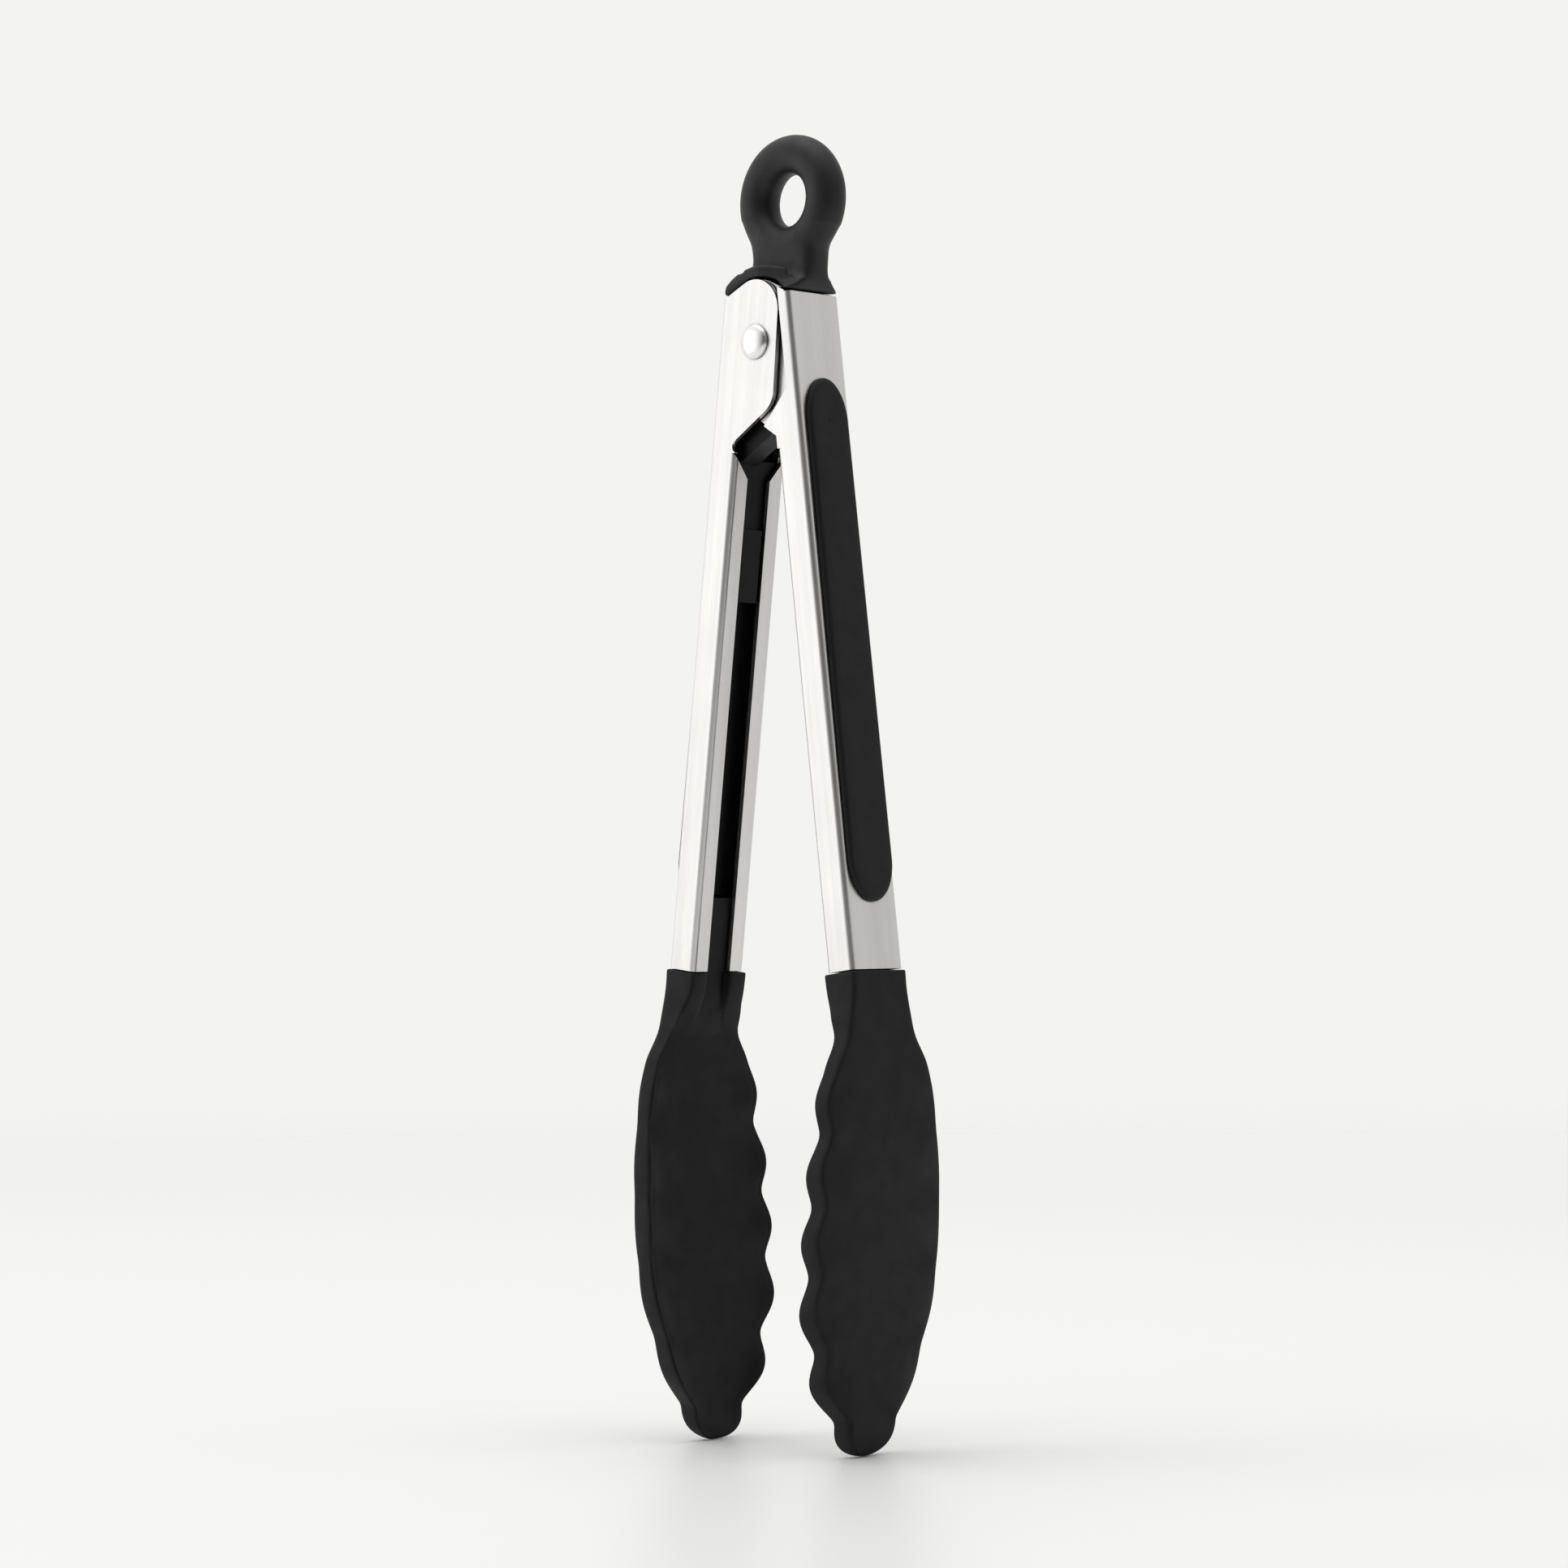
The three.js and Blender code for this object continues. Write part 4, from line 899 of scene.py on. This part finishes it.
class TONGS_OT_stage(bpy.types.Operator):
    """Make the floor, the lights, the surround and the camera"""
    bl_idname = "tongs.stage"
    bl_label = "Stage"

    def execute(self, context):
        colours = context.scene.tongs_colours
        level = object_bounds()[0].z
        middle = Vector((HINGE.x, 0, level / 2))
        stage_floor(level, tuple(colours.floor))
        stage_world(tuple(colours.backdrop))
        stage_light("Front left softbox", middle + Vector((-0.95, -0.95, 0.15)), (1.0, 1.2), 1.45, middle)
        stage_light("Top softbox", middle + Vector((-0.1, -0.2, 1.3)), (1.2, 1.2), 5.0, middle)
        stage_camera(context.scene.tongs_stage, level)
        context.scene.view_settings.view_transform = "Standard"
        return {"FINISHED"}


class TONGS_PT_panel(bpy.types.Panel):
    """Lists the pieces of the tongs"""
    bl_label = "Kitchen tongs"
    bl_idname = "TONGS_PT_panel"
    bl_space_type = "VIEW_3D"
    bl_region_type = "UI"
    bl_category = "Tongs"

    def draw(self, context):
        column = self.layout.column(align=True)
        for operator in OPERATORS:
            column.operator(operator.bl_idname)
        for group in (context.scene.tongs_sizes, context.scene.tongs_colours, context.scene.tongs_stage):
            box = self.layout.box()
            for key in group.__annotations__:
                box.prop(group, key)


GROUPS = (TongsSizes, TongsColours, TongsStage)
OPERATORS = (
    TONGS_OT_arms, TONGS_OT_hinge, TONGS_OT_insides, TONGS_OT_grips, TONGS_OT_heads, TONGS_OT_tab,
    TONGS_OT_stage,
)


def register():
    for item in GROUPS + OPERATORS + (TONGS_PT_panel,):
        bpy.utils.register_class(item)
    bpy.types.Scene.tongs_sizes = PointerProperty(type=TongsSizes)
    bpy.types.Scene.tongs_colours = PointerProperty(type=TongsColours)
    bpy.types.Scene.tongs_stage = PointerProperty(type=TongsStage)


def unregister():
    del bpy.types.Scene.tongs_stage
    del bpy.types.Scene.tongs_colours
    del bpy.types.Scene.tongs_sizes
    for item in reversed(GROUPS + OPERATORS + (TONGS_PT_panel,)):
        bpy.utils.unregister_class(item)


def main():
    register()
    bpy.ops.tongs.arms()
    bpy.ops.tongs.hinge()
    bpy.ops.tongs.insides()
    bpy.ops.tongs.grips()
    bpy.ops.tongs.heads()
    bpy.ops.tongs.tab()
    bpy.ops.tongs.stage()


if __name__ == "__main__":
    main()
